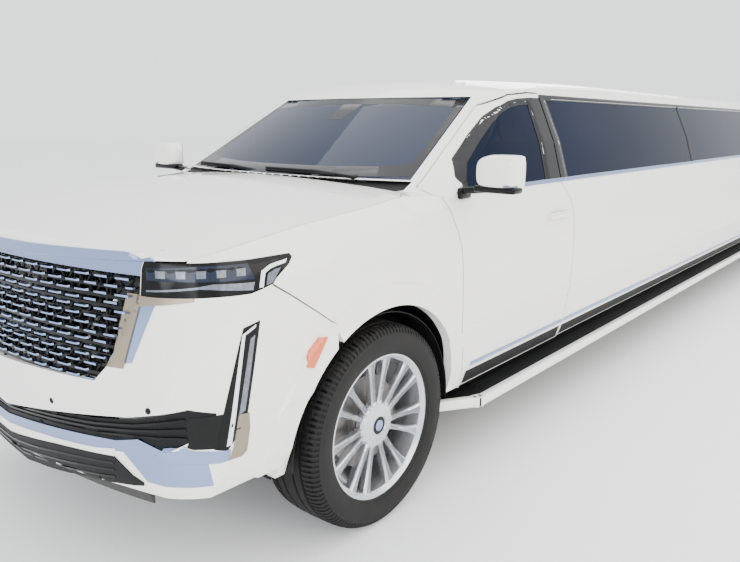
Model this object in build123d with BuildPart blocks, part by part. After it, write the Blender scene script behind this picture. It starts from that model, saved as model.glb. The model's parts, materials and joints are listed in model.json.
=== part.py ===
from build123d import *
import os

# A stretch limousine on a full-size sport utility body. All sizes are in millimetres.
# +X is the vehicle's left, +Y its rear and +Z up. The ground is at Z = 0.
# Side-view places called "aft" are distances behind the front axle.

# Driving dimensions
FRONT_OVERHANG = 1010
DONOR_WHEELBASE = 3071
STRETCH = 5080
REAR_OVERHANG = 1300
HALF_WIDTH = 1030
ROOF_HEIGHT = 1878
SILL_HEIGHT = 405
GROUND_CLEARANCE = 240

WHEELBASE = DONOR_WHEELBASE + STRETCH
LENGTH = FRONT_OVERHANG + WHEELBASE + REAR_OVERHANG
FRONT_AXLE_Y = FRONT_OVERHANG - LENGTH / 2
REAR_AXLE_Y = FRONT_AXLE_Y + WHEELBASE

# Wheels
TRACK = 1740
TYRE_RADIUS = 417
TYRE_WIDTH = 284
TYRE_WALL = 10
TYRE_GAP = 1
TREAD_WALL = 15
TREAD_HALF = 106
SHOULDER_STEP = 24
SHOULDER_DROP = 24
SIDEWALL_RISE = 46
RIM_RADIUS = 296
RIM_WIDTH = 250
RIM_WALL = 9
RIM_LIP = 16
RIM_LIP_WIDTH = 12
SPOKE_PAIRS = 7
SPOKE_WIDTH = 24
SPOKE_DEPTH = 26
SPOKE_SPREAD = 9.5
SPOKE_FACE = 116
SPOKE_DISH = 22
HUB_RADIUS = 84
HUB_BOLT_CIRCLE = 139.7
HUB_BOLT_COUNT = 6
HUB_BOLT_RADIUS = 7.5
HUB_CAP_RADIUS = 36
DISC_RADIUS = 172
DISC_THICKNESS = 30
DISC_BACK = 25
HAT_RADIUS = 95
SPINDLE_END = 60
KINGPIN_X = 800
ARCH_RADIUS = 485
ARCH_CENTRE_HEIGHT = 430
ARCH_LINER_RADIUS = 500
ARCH_LINER_WALL = 4
FLARE_WIDTH = 92
FLARE_RISE = 12

# Wall thicknesses and clearances
PANEL_WALL = 30
DOOR_WALL = 80
ROOF_WALL = 52
SKIN_WALL = 12
GLASS_RECESS = 4
GLASS_THICKNESS = 6
PANEL_GAP = 5
DOOR_GAP = 8
SHUT_STEP = 25
SEAT_GAP = 2

# Side profile of the lower body: height, and how far it lies inside the widest line
SIDE_PROFILE = (
    (GROUND_CLEARANCE, 150),
    (SILL_HEIGHT, 76),
    (500, 44),
    (660, 20),
    (690, 10),
    (820, 4),
    (980, 0),
    (1080, 6),
    (1150, 17),
)

# Stations of the lower body: aft, side set-in, shoulder x and z, top edge x and z, crown z
NOSE_STATIONS = (
    (-1150, 42, 950, 1166, 862, 1188, 1206),
    (-900, 36, 952, 1168, 862, 1191, 1222),
    (-720, 30, 958, 1174, 866, 1194, 1250),
    (-350, 18, 968, 1202, 893, 1252, 1306),
    (0, 4, 976, 1218, 884, 1280, 1336),
    (260, 0, 982, 1232, 864, 1302, 1350),
    (470, 0, 985, 1240, 960, 1290, 1352),
    (650, 0, 985, 1240, 964, 1290, 1300),
)
# The same columns, with the first one behind the rear axle
TAIL_STATIONS = (
    (-200, 0, 985, 1240, 964, 1290, 1300),
    (700, 4, 980, 1240, 960, 1290, 1300),
    (1400, 22, 962, 1240, 944, 1290, 1300),
)

# Plan of the nose by height: z, nose set-back, corner start x and back, corner end x and back, bulge
NOSE_PLAN = (
    (200, 90, 760, 100, 950, 420, 60),
    (450, 12, 830, 105, 985, 420, 58),
    (700, 0, 840, 108, 1000, 430, 62),
    (1060, 25, 800, 108, 992, 440, 66),
    (1160, 36, 770, 100, 975, 430, 66),
    (1215, 62, 760, 96, 960, 420, 62),
    (1460, 330, 760, 96, 960, 420, 62),
)
# Plan of the tail by height: z, tail set-in, corner start x, corner start in, corner end x and in
TAIL_PLAN = (
    (200, 90, 1000, 300, 850, 20),
    (450, 6, 1020, 260, 900, 20),
    (700, 0, 1020, 260, 900, 20),
    (1060, 14, 1010, 230, 890, 20),
    (1160, 22, 1000, 230, 880, 20),
    (1215, 30, 995, 230, 870, 20),
    (1460, 100, 960, 230, 830, 20),
)

# Stations of the glasshouse: aft, drip x and z, cant x and z, crown z
HOUSE_FRONT_STATIONS = (
    (100, 800, 1640, 700, 1672, 1712),
    (1050, 797, 1698, 700, 1730, 1776),
    (1300, 784, 1742, 700, 1776, 1826),
    (1700, 778, 1764, 700, 1800, 1852),
    (2500, 775, 1775, 700, 1822, ROOF_HEIGHT),
)
# The same columns, with the first one behind the rear axle
HOUSE_REAR_STATIONS = (
    (-200, 775, 1775, 700, 1822, ROOF_HEIGHT),
    (700, 775, 1770, 700, 1815, 1868),
    (1150, 768, 1748, 690, 1784, 1832),
    (1450, 760, 1720, 680, 1752, 1795),
)
HOUSE_FOOT = (900, 1200)
HOUSE_BELT = (966, 1287)
HOUSE_MID = (900, 1500)

# Wrap of the windscreen and tailgate faces: z, centre aft, edge x and aft, pillar x and aft, tail in
HOUSE_WRAP = (
    (1180, 31, 815, 170, 1022, 349, 35),
    (1920, 1371, 612, 1450, 722, 1563, 262),
)

# Doors, as side-view places. Aft from the front axle for the front door.
BELT_HEIGHT = 1292
WINDOW_TOP = 1728
DOOR_TOP = 1752
FRONT_DOOR = (
    (600, SILL_HEIGHT - 10),
    (530, 700),
    (500, 1070),
    (440, 1314),
    (496, 1395),
    (608, 1481),
    (939, 1640),
    (1257, 1734),
    (1480, DOOR_TOP),
    (1590, DOOR_TOP),
    (1566, 1290),
    (1630, 1190),
    (1640, 700),
    (1660, SILL_HEIGHT - 10),
)
FRONT_WINDOW = (
    (600, BELT_HEIGHT),
    (590, 1360),
    (690, 1455),
    (1000, 1614),
    (1230, 1694),
    (1462, 1712),
    (1418, BELT_HEIGHT),
)
# Rear door, as distances ahead of the rear axle
REAR_DOOR = (
    (1400, SILL_HEIGHT - 10),
    (1436, 700),
    (1440, 1190),
    (1390, 1290),
    (1366, DOOR_TOP),
    (372, DOOR_TOP - 2),
    (330, 1290),
    (330, 1040),
    (470, 900),
    (585, 700),
    (620, SILL_HEIGHT - 10),
)
REAR_WINDOW = ((1300, BELT_HEIGHT), (1276, WINDOW_TOP), (470, WINDOW_TOP), (430, BELT_HEIGHT))
QUARTER_ROWS = ((-210, BELT_HEIGHT), (-250, WINDOW_TOP - 6), (740, WINDOW_TOP - 20), (880, BELT_HEIGHT))
SALOON_WINDOW_FRONT = 1648
SALOON_WINDOW_DIVIDER = 4010
SALOON_WINDOW_REAR_AHEAD = 1500
DIVIDER_WIDTH = 12
WINDOW_CORNER = 24
FRONT_HANDLE_AFT = 1545
REAR_HANDLE_AHEAD = 430
HANDLE_LENGTH = 230
HANDLE_HEIGHT = 1132
HANDLE_THICKNESS = 30
HANDLE_OUT = 12
HANDLE_STAND_OFF = 4
HANDLE_ROOT = 22
HANDLE_POST = 34

# Windscreen: front-view x and z of one side
SCREEN_SIDE = ((767, 1350), (662, 1726))
SCREEN_TOP_AFT = 1300
PILLAR_WIDTH = 50
WINDOW_FRAME = 46

# Bonnet: plan of one side edge, as x and aft, and its rear edge
BONNET_SIDE = ((862, -1150), (866, -720), (893, -350), (884, 0), (864, 262), (806, 345))
BONNET_REAR_CENTRE_AFT = 268
BONNET_LIP_HEIGHT = 1186
COWL_REAR_AFT = 470

# Front face, as front-view x and z on one side
GRILLE_SIDE = ((750, 1138), (750, 1074), (622, 842), (560, 778))
GRILLE_FOOT = 752
GRILLE_TRIM_SIDE = ((750, 1074), (816, 1074), (724, 864), (622, 842))
GRILLE_ROWS = 12
GRILLE_BAR_HEIGHT = 12
GRILLE_STRUTS = 5
GRILLE_STRUT_WIDTH = 8
INTAKE_SIDE = ((707, 685), (905, 737), (905, 628), (849, 592), (738, 616), (640, 590))
INTAKE_TOP = 568
INTAKE_FOOT = 527
LOWER_TRIM_SIDE = ((640, 590), (738, 616), (849, 592), (940, 560), (944, 474), (760, 472), (668, 556))
LOWER_TRIM_FOOT = 455
CORNER_LAMP_SIDE = ((872, 952), (968, 984), (962, 600), (905, 628), (905, 740))
CHIN_SIDE = ((331, 404), (646, 424), (1000, 432))
CHIN_FOOT = 386
CHIN_LOW = 305
CHIN_HALF = 830

# Headlamps, as side-view aft and z
LAMP_INNER_X = 752
LAMP_OUTLINE = ((-1150, 1078), (-650, 1078), (-560, 1096), (-468, 1170), (-474, 1181), (-1150, 1181))
WING_SEAM = ((-292, 880), (-300, 915), (-560, 1096))

# Tail
TAILGATE_HALF = 700
TAILGATE_FOOT = 725
TAILGATE_TOP = 1784
TAILGATE_TOP_CORNER = 1738
TAIL_WINDOW = ((600, 1296), (560, 1672))
PLATE_HEIGHT = 980
PLATE_HOLE_SPACING = 177.8
PLATE_HOLE_RADIUS = 3.5
TAIL_LAMP_INNER = 706
TAIL_LAMP_OUTER = 905
TAIL_LAMP_FOOT = 730
TAIL_LAMP_TOP = 1735
TAIL_LAMP_AHEAD = 130
REAR_BUMPER_TOP = 715
REAR_BUMPER_FOOT = 330
REAR_BUMPER_SEAM_BEHIND = 492

# Running boards
BOARD_OUTER = 1046
BOARD_INNER = 838
BOARD_TOP = 345
BOARD_DEPTH = 42
BOARD_FRONT_AFT = 470
BOARD_TAPER = 200
BOARD_REAR_AHEAD = 560

# Mirrors
MIRROR_AFT = 560
MIRROR_HEIGHT = 1392
MIRROR_INNER = 1046
MIRROR_OUTER = 1252
MIRROR_TALL = 150
MIRROR_DEEP = 96
MIRROR_ARM_DEPTH = 36

# Chassis frame
RAIL_X = 440
RAIL_WIDTH = 80
RAIL_HEIGHT = 150
RAIL_BOTTOM = 330
RAIL_AHEAD = 850
RAIL_BEHIND = 1150
KICK_AHEAD = 800
KICK_RUN = 300
KICK_RISE = 220
CROSSMEMBER_AFTS = (-750, 1300, 2400, 3500, 4600, 5700, 6900)
REAR_CROSSMEMBERS = (520, 1000)
CROSSMEMBER_LENGTH = 90
JACK_PAD_AFTS = (900, 6300)
JACK_PAD_LENGTH = 80
JACK_PAD_DEPTH = 12
CROSSMEMBER_HEIGHT = 50
BEAM_REACH = 220
BEAM_HEIGHT = 130

# Floor and wheel housings
FLOOR_TOP = 520
FLOOR_THICKNESS = 40
FLOOR_BEHIND = 1187
FIREWALL_AFT = 506
FIREWALL_THICKNESS = 30
FIREWALL_TOP = 1200
PAN_HALF = 890
REAR_FLOOR_TAPER = 170
SILL_INNER = 780
LINER_INNER_X = 550
LINER_FOOT = 350

# Engine and gearbox blocks
ENGINE_HALF = 300
ENGINE_AHEAD = 350
ENGINE_BEHIND = 420
ENGINE_FOOT = 410
ENGINE_TOP = 1020
GEARBOX_HALF = 120
GEARBOX_AFT = 1150
GEARBOX_FOOT = 300

# Front suspension: wishbones as height, thickness and half spread of the inner pivots
LOWER_WISHBONE = (250, 30, 190)
UPPER_WISHBONE = (600, 25, 140)
WISHBONE_INNER_X = 460
WISHBONE_TIP = 42
WISHBONE_LEG = 50
STUD_RADIUS = 12
STUD_GAP = 0.5
STRUT_X = 560
STRUT_RADIUS = 45
STRUT_TOP = 800
TOWER_THICKNESS = 40
UPRIGHT_WIDTH = 50
UPRIGHT_HALF = 35
UPRIGHT_GAP = 10
CARRIER_RADIUS = 70
SPINDLE_RADIUS = 30
SPINDLE_LENGTH = 90
SPINDLE_GAP = 0.05
CALIPER_HALF = 50
CALIPER_GAP = 5
CALIPER_JAW = 15
CALIPER_BRIDGE = 25
STEERING_ARM = 160
STEERING_ARM_WIDTH = 36

# Rear axle and driveline
AXLE_TUBE_RADIUS = 45
DIFFERENTIAL_RADIUS = 140
DIFFERENTIAL_HALF = 130
PINION_LENGTH = 220
SPRING_RADIUS = 55
TRAILING_ARM_RADIUS = 20
TRAILING_ARM_X = 520
PROPSHAFT_RADIUS = 35
PROPSHAFT_HEIGHT = 360
PROPSHAFT_JOINT_AFT = 6200
HANGER_AFTS = (2400, 4600)
EXHAUST_X = 200
EXHAUST_RADIUS = 32
EXHAUST_HEIGHT = 380
MUFFLER = (5850, 6650, 190, 110)
TANK = (5500, 6600, 380, 110, 290)

# Cabin
DASH_ROWS = ((540, 850), (540, 1190), (700, 1205), (930, 1150), (955, 1010), (880, 850))
DASH_HALF = 890
DRIVER_X = 400
STEERING_WHEEL_AFT = 1060
STEERING_WHEEL_HEIGHT = 1060
STEERING_WHEEL_RADIUS = 185
STEERING_WHEEL_GRIP = 15
SEAT_HALF = 260
SEAT_ROWS = ((1190, 520), (1150, 800), (1640, 830), (1770, 1400), (1880, 1400), (1790, 780), (1700, 520))
SEAT_CORNER = 30
PARTITION_AFT = 2000
PARTITION_THICKNESS = 50
PARTITION_WINDOW = (600, 1150, 1600)
BENCH_FRONT_AFT = 2600
BENCH_REAR_AFT = 6600
BENCH_ROWS = ((890, 520), (890, 1180), (770, 1180), (750, 900), (330, 900), (330, 520))
REAR_BENCH_HALF = 520
REAR_BENCH_ROWS = ((-270, 740), (-270, 1010), (200, 1000), (290, 1420), (400, 1420), (330, 740))
BAR_REAR_AFT = 5600
BAR_INNER = 560
BAR_OUTER = 880
BAR_TOP = 1100
BAR_BAYS = 4
BAR_BAY_DEPTH = 220
BAR_WALL = 30


def section_points(profile, set_in, shoulder, edge, inset):
    """One side of a lower body section, from the underside up to the edge of its top."""
    side = [(HALF_WIDTH - set_in - step - inset, z) for z, step in profile]
    side[0] = (side[0][0], GROUND_CLEARANCE - inset)
    return side + [(shoulder[0] - inset, shoulder[1]), (edge[0] - inset, edge[1] - inset)]


def mirrored_face(points, crown):
    """Close a half outline with its mirror image, a flat foot and an arched top."""
    with BuildSketch() as face:
        with BuildLine():
            right = Polyline(*points)
            left = Polyline(*[(-x, z) for x, z in points])
            ThreePointArc(right @ 1, (0, crown), left @ 1)
            Line(left @ 0, right @ 0)
        make_face()
    return face.sketch


def lower_form(inset, profile):
    """Body below the waist, from the nose to the tail, before its ends are rounded."""
    stations = [(FRONT_AXLE_Y + row[0], *row[1:]) for row in NOSE_STATIONS]
    stations += [(REAR_AXLE_Y + row[0], *row[1:]) for row in TAIL_STATIONS]
    with BuildPart() as form:
        for y, set_in, shoulder_x, shoulder_z, edge_x, edge_z, crown in stations:
            points = section_points(profile, set_in, (shoulder_x, shoulder_z), (edge_x, edge_z), inset)
            with BuildSketch(Plane.XZ.offset(-y)):
                add(mirrored_face(points, crown - inset))
        loft(ruled=True)
    return form.part


def end_outline(nose, tail, inset):
    """Plan of the lower body at one height, with both ends rounded."""
    _, nose_back, start_x, start_back, end_x, end_back, bulge = nose
    _, tail_in, rear_x, rear_in, turn_x, turn_in = tail
    nose_y = -LENGTH / 2 + nose_back + inset
    tail_y = LENGTH / 2 - tail_in - inset
    wide = HALF_WIDTH + 60
    with BuildSketch() as face:
        with BuildLine():
            for side in (1, -1):
                start = Vector(side * (start_x - inset / 2), nose_y + start_back)
                end = Vector(side * (end_x - inset), nose_y + end_back)
                middle = (start + end) / 2
                chord = end - start
                outward = Vector(side * chord.Y, -abs(chord.X)).normalized()
                ThreePointArc(start, middle + outward * bulge, end)
                waist_front = Vector(side * wide, nose_y + 2 * end_back)
                waist_rear = Vector(side * wide, tail_y - 3 * rear_in)
                rear = Vector(side * (rear_x - inset), tail_y - rear_in)
                turn = Vector(side * (turn_x - inset), tail_y - turn_in)
                Polyline(end, waist_front, waist_rear, rear)
                bend = Vector(side * (0.35 * turn_x + 0.65 * rear_x - inset), tail_y - 0.36 * rear_in)
                ThreePointArc(rear, bend, turn)
            nose_x = start_x - inset / 2
            ThreePointArc((nose_x, nose_y + start_back), (0, nose_y), (-nose_x, nose_y + start_back))
            rear_edge = turn_x - inset
            ThreePointArc((rear_edge, tail_y - turn_in), (0, tail_y), (-rear_edge, tail_y - turn_in))
        make_face()
    return face.sketch


def end_form(inset):
    """Upright form that rounds off the nose and the tail."""
    with BuildPart() as form:
        for nose, tail in zip(NOSE_PLAN, TAIL_PLAN):
            with BuildSketch(Plane.XY.offset(nose[0])):
                add(end_outline(nose, tail, inset))
        loft(ruled=True)
    return form.part


def house_form(inset, roof_inset):
    """Glasshouse and roof, before the windscreen and tailgate faces are cut."""
    stations = [(FRONT_AXLE_Y + row[0], *row[1:]) for row in HOUSE_FRONT_STATIONS]
    stations += [(REAR_AXLE_Y + row[0], *row[1:]) for row in HOUSE_REAR_STATIONS]
    with BuildPart() as form:
        for y, drip_x, drip_z, cant_x, cant_z, crown in stations:
            bend = (drip_x - 24, (drip_z + cant_z) / 2 + 8)
            side = [HOUSE_FOOT, HOUSE_BELT, HOUSE_MID, (drip_x, drip_z)]
            points = [(x - inset, z) for x, z in side]
            points += [(bend[0] - inset, bend[1] - roof_inset), (cant_x - inset, cant_z - roof_inset)]
            with BuildSketch(Plane.XZ.offset(-y)):
                add(mirrored_face(points, crown - roof_inset))
        loft(ruled=True)
    return form.part


def wrap_form(inset):
    """Upright form whose front is the windscreen face and whose back is the tailgate glass face."""
    wide = HALF_WIDTH + 60
    with BuildPart() as form:
        for z, centre_aft, edge_x, edge_aft, pillar_x, pillar_aft, tail_in in HOUSE_WRAP:
            front = FRONT_AXLE_Y + 1.8 * inset
            rear = LENGTH / 2 - tail_in - inset
            with BuildSketch(Plane.XY.offset(z)):
                with BuildLine():
                    for side in (1, -1):
                        edge = Vector(side * edge_x, front + edge_aft)
                        pillar = Vector(side * pillar_x, front + pillar_aft)
                        bend_x = 0.42 * edge_x + 0.58 * pillar_x
                        bend = Vector(side * bend_x, front + 0.62 * edge_aft + 0.38 * pillar_aft)
                        ThreePointArc(edge, bend, pillar)
                        corner = Vector(side * (690 - inset), rear - 24)
                        quarter = Vector(side * (900 - inset), rear - 260)
                        Polyline(pillar, (side * wide, FRONT_AXLE_Y + 2600), (side * wide, rear - 900), quarter)
                        ThreePointArc(quarter, Vector(side * (835 - inset), rear - 96), corner)
                    edge_y = front + edge_aft
                    ThreePointArc((edge_x, edge_y), (0, front + centre_aft), (-edge_x, edge_y))
                    ThreePointArc((690 - inset, rear - 24), (0, rear), (inset - 690, rear - 24))
                make_face()
        loft(ruled=True)
    return form.part


def glasshouse(inset, roof_inset):
    """The glasshouse with its windscreen and tailgate faces, moved inwards by an inset."""
    with BuildPart() as form:
        add(house_form(inset, roof_inset))
        add(wrap_form(inset), mode=Mode.INTERSECT)
    return form.part


def lower_body(inset, profile=SIDE_PROFILE):
    """The lower body with its rounded ends, moved inwards by an inset."""
    with BuildPart() as form:
        add(lower_form(inset, profile))
        add(end_form(inset), mode=Mode.INTERSECT)
    return form.part


def joined(*bodies):
    """Several bodies as one."""
    with BuildPart() as result:
        for body in bodies:
            add(body)
    return result.part


def block(low, high):
    """Box between two corners."""
    with BuildPart() as solid:
        with BuildSketch(Plane.XY.offset(low[2])):
            with Locations(((low[0] + high[0]) / 2, (low[1] + high[1]) / 2)):
                Rectangle(high[0] - low[0], high[1] - low[1])
        extrude(amount=high[2] - low[2])
    return solid.part


def side_prism(points, origin, low_x, high_x, grow=0, corner=0):
    """Side-view outline, as aft and z from an origin on Y, carried across the body."""
    with BuildPart() as solid:
        with BuildSketch(Plane.YZ.offset(low_x)) as face:
            with BuildLine():
                Polyline(*[(origin + aft, z) for aft, z in points], close=True)
            make_face()
            if corner:
                fillet(face.vertices(), corner)
            if grow:
                offset(amount=grow, kind=Kind.TANGENT)
        extrude(amount=high_x - low_x)
    return solid.part


def front_prism(points, low_y, high_y):
    """Front-view outline carried along the vehicle."""
    with BuildPart() as solid:
        with BuildSketch(Plane.XZ.offset(-low_y)):
            with BuildLine():
                Polyline(*points, close=True)
            make_face()
        extrude(amount=low_y - high_y)
    return solid.part


def plan_prism(points, low_z, high_z, grow=0):
    """Plan outline carried upwards."""
    with BuildPart() as solid:
        with BuildSketch(Plane.XY.offset(low_z)):
            with BuildLine():
                Polyline(*points, close=True)
            make_face()
            if grow:
                offset(amount=grow, kind=Kind.TANGENT)
        extrude(amount=high_z - low_z)
    return solid.part


def axle_cylinder(radius, low_x, high_x, y, z):
    """Round bar along X."""
    with BuildPart() as solid:
        with BuildSketch(Plane.YZ.offset(low_x)):
            with Locations((y, z)):
                Circle(radius)
        extrude(amount=high_x - low_x)
    return solid.part


def cut_from(body, *tools):
    """A body less some tools."""
    with BuildPart() as result:
        add(body)
        add(tools, mode=Mode.SUBTRACT)
    return result.part


def common(body, region):
    """The part of a body inside a region."""
    with BuildPart() as result:
        add(body)
        add(region, mode=Mode.INTERSECT)
    return result.part


def both_sides(points):
    """A front-view or plan outline of one side, joined to its mirror image."""
    return list(points) + [(-x, z) for x, z in reversed(points) if x]


def mirrored(body):
    """A left piece turned into the right one."""
    with BuildPart() as result:
        mirror(body, about=Plane.YZ)
    return result.part


# Master forms: the outer skin and its inward copies
NOSE_Y = -LENGTH / 2
TAIL_Y = LENGTH / 2
FAR = HALF_WIDTH + 100
INNER_PROFILE = SIDE_PROFILE[::2]
HOUSE_OUTER = glasshouse(0, 0)
OUTER = joined(lower_body(0), HOUSE_OUTER)
WALL_INNER = joined(lower_body(DOOR_WALL, INNER_PROFILE), glasshouse(DOOR_WALL, ROOF_WALL))
SKIN_INNER = joined(lower_body(SKIN_WALL), glasshouse(SKIN_WALL, SKIN_WALL))
PANEL_INNER = lower_body(PANEL_WALL, INNER_PROFILE)
GLASS_DEPTH = GLASS_RECESS + GLASS_THICKNESS
GLASS_OUTER = glasshouse(GLASS_RECESS, GLASS_RECESS)
GLASS_INNER = glasshouse(GLASS_DEPTH, GLASS_DEPTH)

# Wheel-arch flares, which stand proud of the body inside a cone round each axle
FLARE_LOW_X = HALF_WIDTH - 130
FLARE_HIGH_X = HALF_WIDTH + 30
with BuildPart() as flare_cones:
    for axle_y in (FRONT_AXLE_Y, REAR_AXLE_Y):
        for side in (1, -1):
            with Locations((side * (FLARE_LOW_X + FLARE_HIGH_X) / 2, axle_y, ARCH_CENTRE_HEIGHT)):
                Cone(
                    ARCH_RADIUS + FLARE_WIDTH + 60,
                    ARCH_RADIUS + FLARE_WIDTH - 20,
                    FLARE_HIGH_X - FLARE_LOW_X,
                    rotation=(0, side * 90, 0),
                )
FLARES = common(lower_body(-FLARE_RISE), flare_cones.part)

PAINTED = joined(OUTER, FLARES)


def layer(region, outer, inner):
    """The part of a region that lies between two forms."""
    return cut_from(common(outer, region), inner)


def glass(region):
    """A pane that fills a region of the glasshouse, a little below the painted skin."""
    return layer(region, GLASS_OUTER, GLASS_INNER)


def arch_cut(y):
    """Space cut through the body for one axle's wheels."""
    return axle_cylinder(ARCH_RADIUS, -FAR, FAR, y, ARCH_CENTRE_HEIGHT)


ARCH_FRONT = arch_cut(FRONT_AXLE_Y)
ARCH_REAR = arch_cut(REAR_AXLE_Y)

# Doors and their glass, left side
LAMP_PRISM = side_prism(LAMP_OUTLINE, FRONT_AXLE_Y, LAMP_INNER_X, FAR)
CORE_FOOT = FLOOR_TOP + DOOR_GAP
SIDE_LOW_X = SCREEN_SIDE[1][0]
screen_foot, screen_top = SCREEN_SIDE


def beside_screen(distance):
    """Everything outside a line that runs along the windscreen's edge, seen from the front."""
    rows = (
        (screen_foot[0] + distance, 0),
        (screen_foot[0] + distance, screen_foot[1]),
        (screen_top[0] + distance, screen_top[1]),
        (screen_top[0] + distance, ROOF_HEIGHT),
        (FAR, ROOF_HEIGHT),
        (FAR, 0),
    )
    return front_prism(rows, FRONT_AXLE_Y, REAR_AXLE_Y)


def door_region(outline, origin, grow=0):
    """Space of one door, as its side-view outline clear of the windscreen pillar."""
    return common(side_prism(outline, origin, SIDE_LOW_X, FAR, grow=grow), beside_screen(PILLAR_WIDTH - grow))


def door_leaf(outline, origin, window):
    """Outer skin plus a stepped inner layer, with its window cut."""
    core_outline = [(aft, max(z, CORE_FOOT)) for aft, z in outline]
    skin = door_region(outline, origin)
    core = door_region(core_outline, origin, grow=-SHUT_STEP)
    with BuildPart() as leaf:
        add(layer(cut_from(skin, window), PAINTED, SKIN_INNER))
        add(layer(cut_from(core, window), SKIN_INNER, WALL_INNER))
    return leaf.part


def handle(origin, rear_aft):
    """Pull bar on two posts that stand in the door skin."""
    low = origin + rear_aft - HANDLE_LENGTH
    high = origin + rear_aft
    foot = HANDLE_HEIGHT - HANDLE_THICKNESS / 2
    top = HANDLE_HEIGHT + HANDLE_THICKNESS / 2
    bar_x = HALF_WIDTH + HANDLE_STAND_OFF
    root_x = HALF_WIDTH - HANDLE_ROOT
    with BuildPart() as pull:
        add(block((bar_x, low, foot), (bar_x + HANDLE_OUT, high, top)))
        add(block((root_x, low, foot), (bar_x, low + HANDLE_POST, top)))
        add(block((root_x, high - HANDLE_POST, foot), (bar_x, high, top)))
    return pull.part


def window_region(rows, origin):
    """Space of one side window, with rounded corners."""
    outline = side_prism(rows, origin, SIDE_LOW_X, FAR, corner=WINDOW_CORNER)
    return common(outline, beside_screen(PILLAR_WIDTH + WINDOW_FRAME))


FRONT_PANE = window_region(FRONT_WINDOW, FRONT_AXLE_Y)
with BuildPart() as front_door_left:
    add(door_leaf(FRONT_DOOR, FRONT_AXLE_Y, FRONT_PANE))
    add(handle(FRONT_AXLE_Y, FRONT_HANDLE_AFT))

rear_door_rows = [(-ahead, z) for ahead, z in REAR_DOOR]
REAR_PANE = window_region([(-ahead, z) for ahead, z in REAR_WINDOW], REAR_AXLE_Y)
with BuildPart() as rear_door_left:
    add(door_leaf(rear_door_rows, REAR_AXLE_Y, REAR_PANE))
    add(handle(REAR_AXLE_Y, -REAR_HANDLE_AHEAD))

with BuildPart() as front_door_glass_left:
    add(glass(FRONT_PANE))

with BuildPart() as rear_door_glass_left:
    add(glass(REAR_PANE))

# Openings that the doors leave in the body
FRONT_APERTURE = door_region(FRONT_DOOR, FRONT_AXLE_Y, grow=DOOR_GAP)
REAR_APERTURE = door_region(rear_door_rows, REAR_AXLE_Y, grow=DOOR_GAP)

# Bonnet, hinged along its rear edge
NOSE_AFT = -FRONT_OVERHANG
bonnet_half = [(x, FRONT_AXLE_Y + aft) for x, aft in BONNET_SIDE]


def bonnet_prism(low_z, grow=0):
    """Plan outline of the bonnet, with its arched rear edge."""
    with BuildPart() as solid:
        with BuildSketch(Plane.XY.offset(low_z)):
            with BuildLine():
                left = Polyline(*bonnet_half)
                right = Polyline(*[(-x, y) for x, y in bonnet_half])
                Line(left @ 0, right @ 0)
                ThreePointArc(left @ 1, (0, FRONT_AXLE_Y + BONNET_REAR_CENTRE_AFT), right @ 1)
            make_face()
            if grow:
                offset(amount=grow, kind=Kind.TANGENT)
        extrude(amount=ROOF_HEIGHT - low_z)
    return solid.part


with BuildPart() as bonnet:
    add(layer(bonnet_prism(BONNET_LIP_HEIGHT), OUTER, PANEL_INNER))

# Front wings, from the lamps to the doors
BONNET_CUT = bonnet_prism(BONNET_LIP_HEIGHT - PANEL_GAP, grow=PANEL_GAP)
WING_REAR_AFT = 720
PILLAR_FOOT = 1345
wing_rows = list(WING_SEAM) + [
    (LAMP_OUTLINE[3][0] - 6, LAMP_OUTLINE[3][1] - 4),
    (LAMP_OUTLINE[4][0] - 6, LAMP_OUTLINE[4][1]),
    (NOSE_AFT - 100, LAMP_OUTLINE[5][1]),
    (NOSE_AFT - 100, PILLAR_FOOT),
    (WING_REAR_AFT, PILLAR_FOOT),
    (WING_REAR_AFT, SILL_HEIGHT),
    (0, SILL_HEIGHT),
    (0, ARCH_CENTRE_HEIGHT),
]
WING_INNER_X = 780
wing_outline = side_prism(wing_rows, FRONT_AXLE_Y, WING_INNER_X, FAR)
wing_region = cut_from(wing_outline, BONNET_CUT, FRONT_APERTURE, ARCH_FRONT, LAMP_PRISM)
with BuildPart() as wing_left:
    add(layer(wing_region, PAINTED, PANEL_INNER))

# Body sides, each one long panel from the front door back to the tail
SIDE_FRONT_AFT = 1540
ROOF_SEAM = 1762
side_front_y = FRONT_AXLE_Y + SIDE_FRONT_AFT
tail_reach = TAIL_Y + 100
TAIL_WALL_AHEAD = 420
WINDOW_REAR_Y = REAR_AXLE_Y - SALOON_WINDOW_REAR_AHEAD


def saloon_pane(front_y, rear_y):
    """One long side window between two places on Y."""
    rows = ((front_y, BELT_HEIGHT), (front_y, WINDOW_TOP), (rear_y, WINDOW_TOP), (rear_y, BELT_HEIGHT))
    return side_prism(rows, 0, SIDE_LOW_X, FAR, corner=WINDOW_CORNER)


divider_y = FRONT_AXLE_Y + SALOON_WINDOW_DIVIDER
SALOON_PANES = (
    saloon_pane(FRONT_AXLE_Y + SALOON_WINDOW_FRONT, divider_y - DIVIDER_WIDTH / 2),
    saloon_pane(divider_y + DIVIDER_WIDTH / 2, WINDOW_REAR_Y),
    side_prism(QUARTER_ROWS, REAR_AXLE_Y, SIDE_LOW_X, FAR, corner=WINDOW_CORNER),
)
rear_seam_y = REAR_AXLE_Y + REAR_BUMPER_SEAM_BEHIND
side_rows = (
    (side_front_y, SILL_HEIGHT),
    (side_front_y, ROOF_SEAM),
    (tail_reach, ROOF_SEAM),
    (tail_reach, REAR_BUMPER_TOP + PANEL_GAP),
    (rear_seam_y, REAR_BUMPER_TOP + PANEL_GAP),
    (rear_seam_y, SILL_HEIGHT),
)


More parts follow.
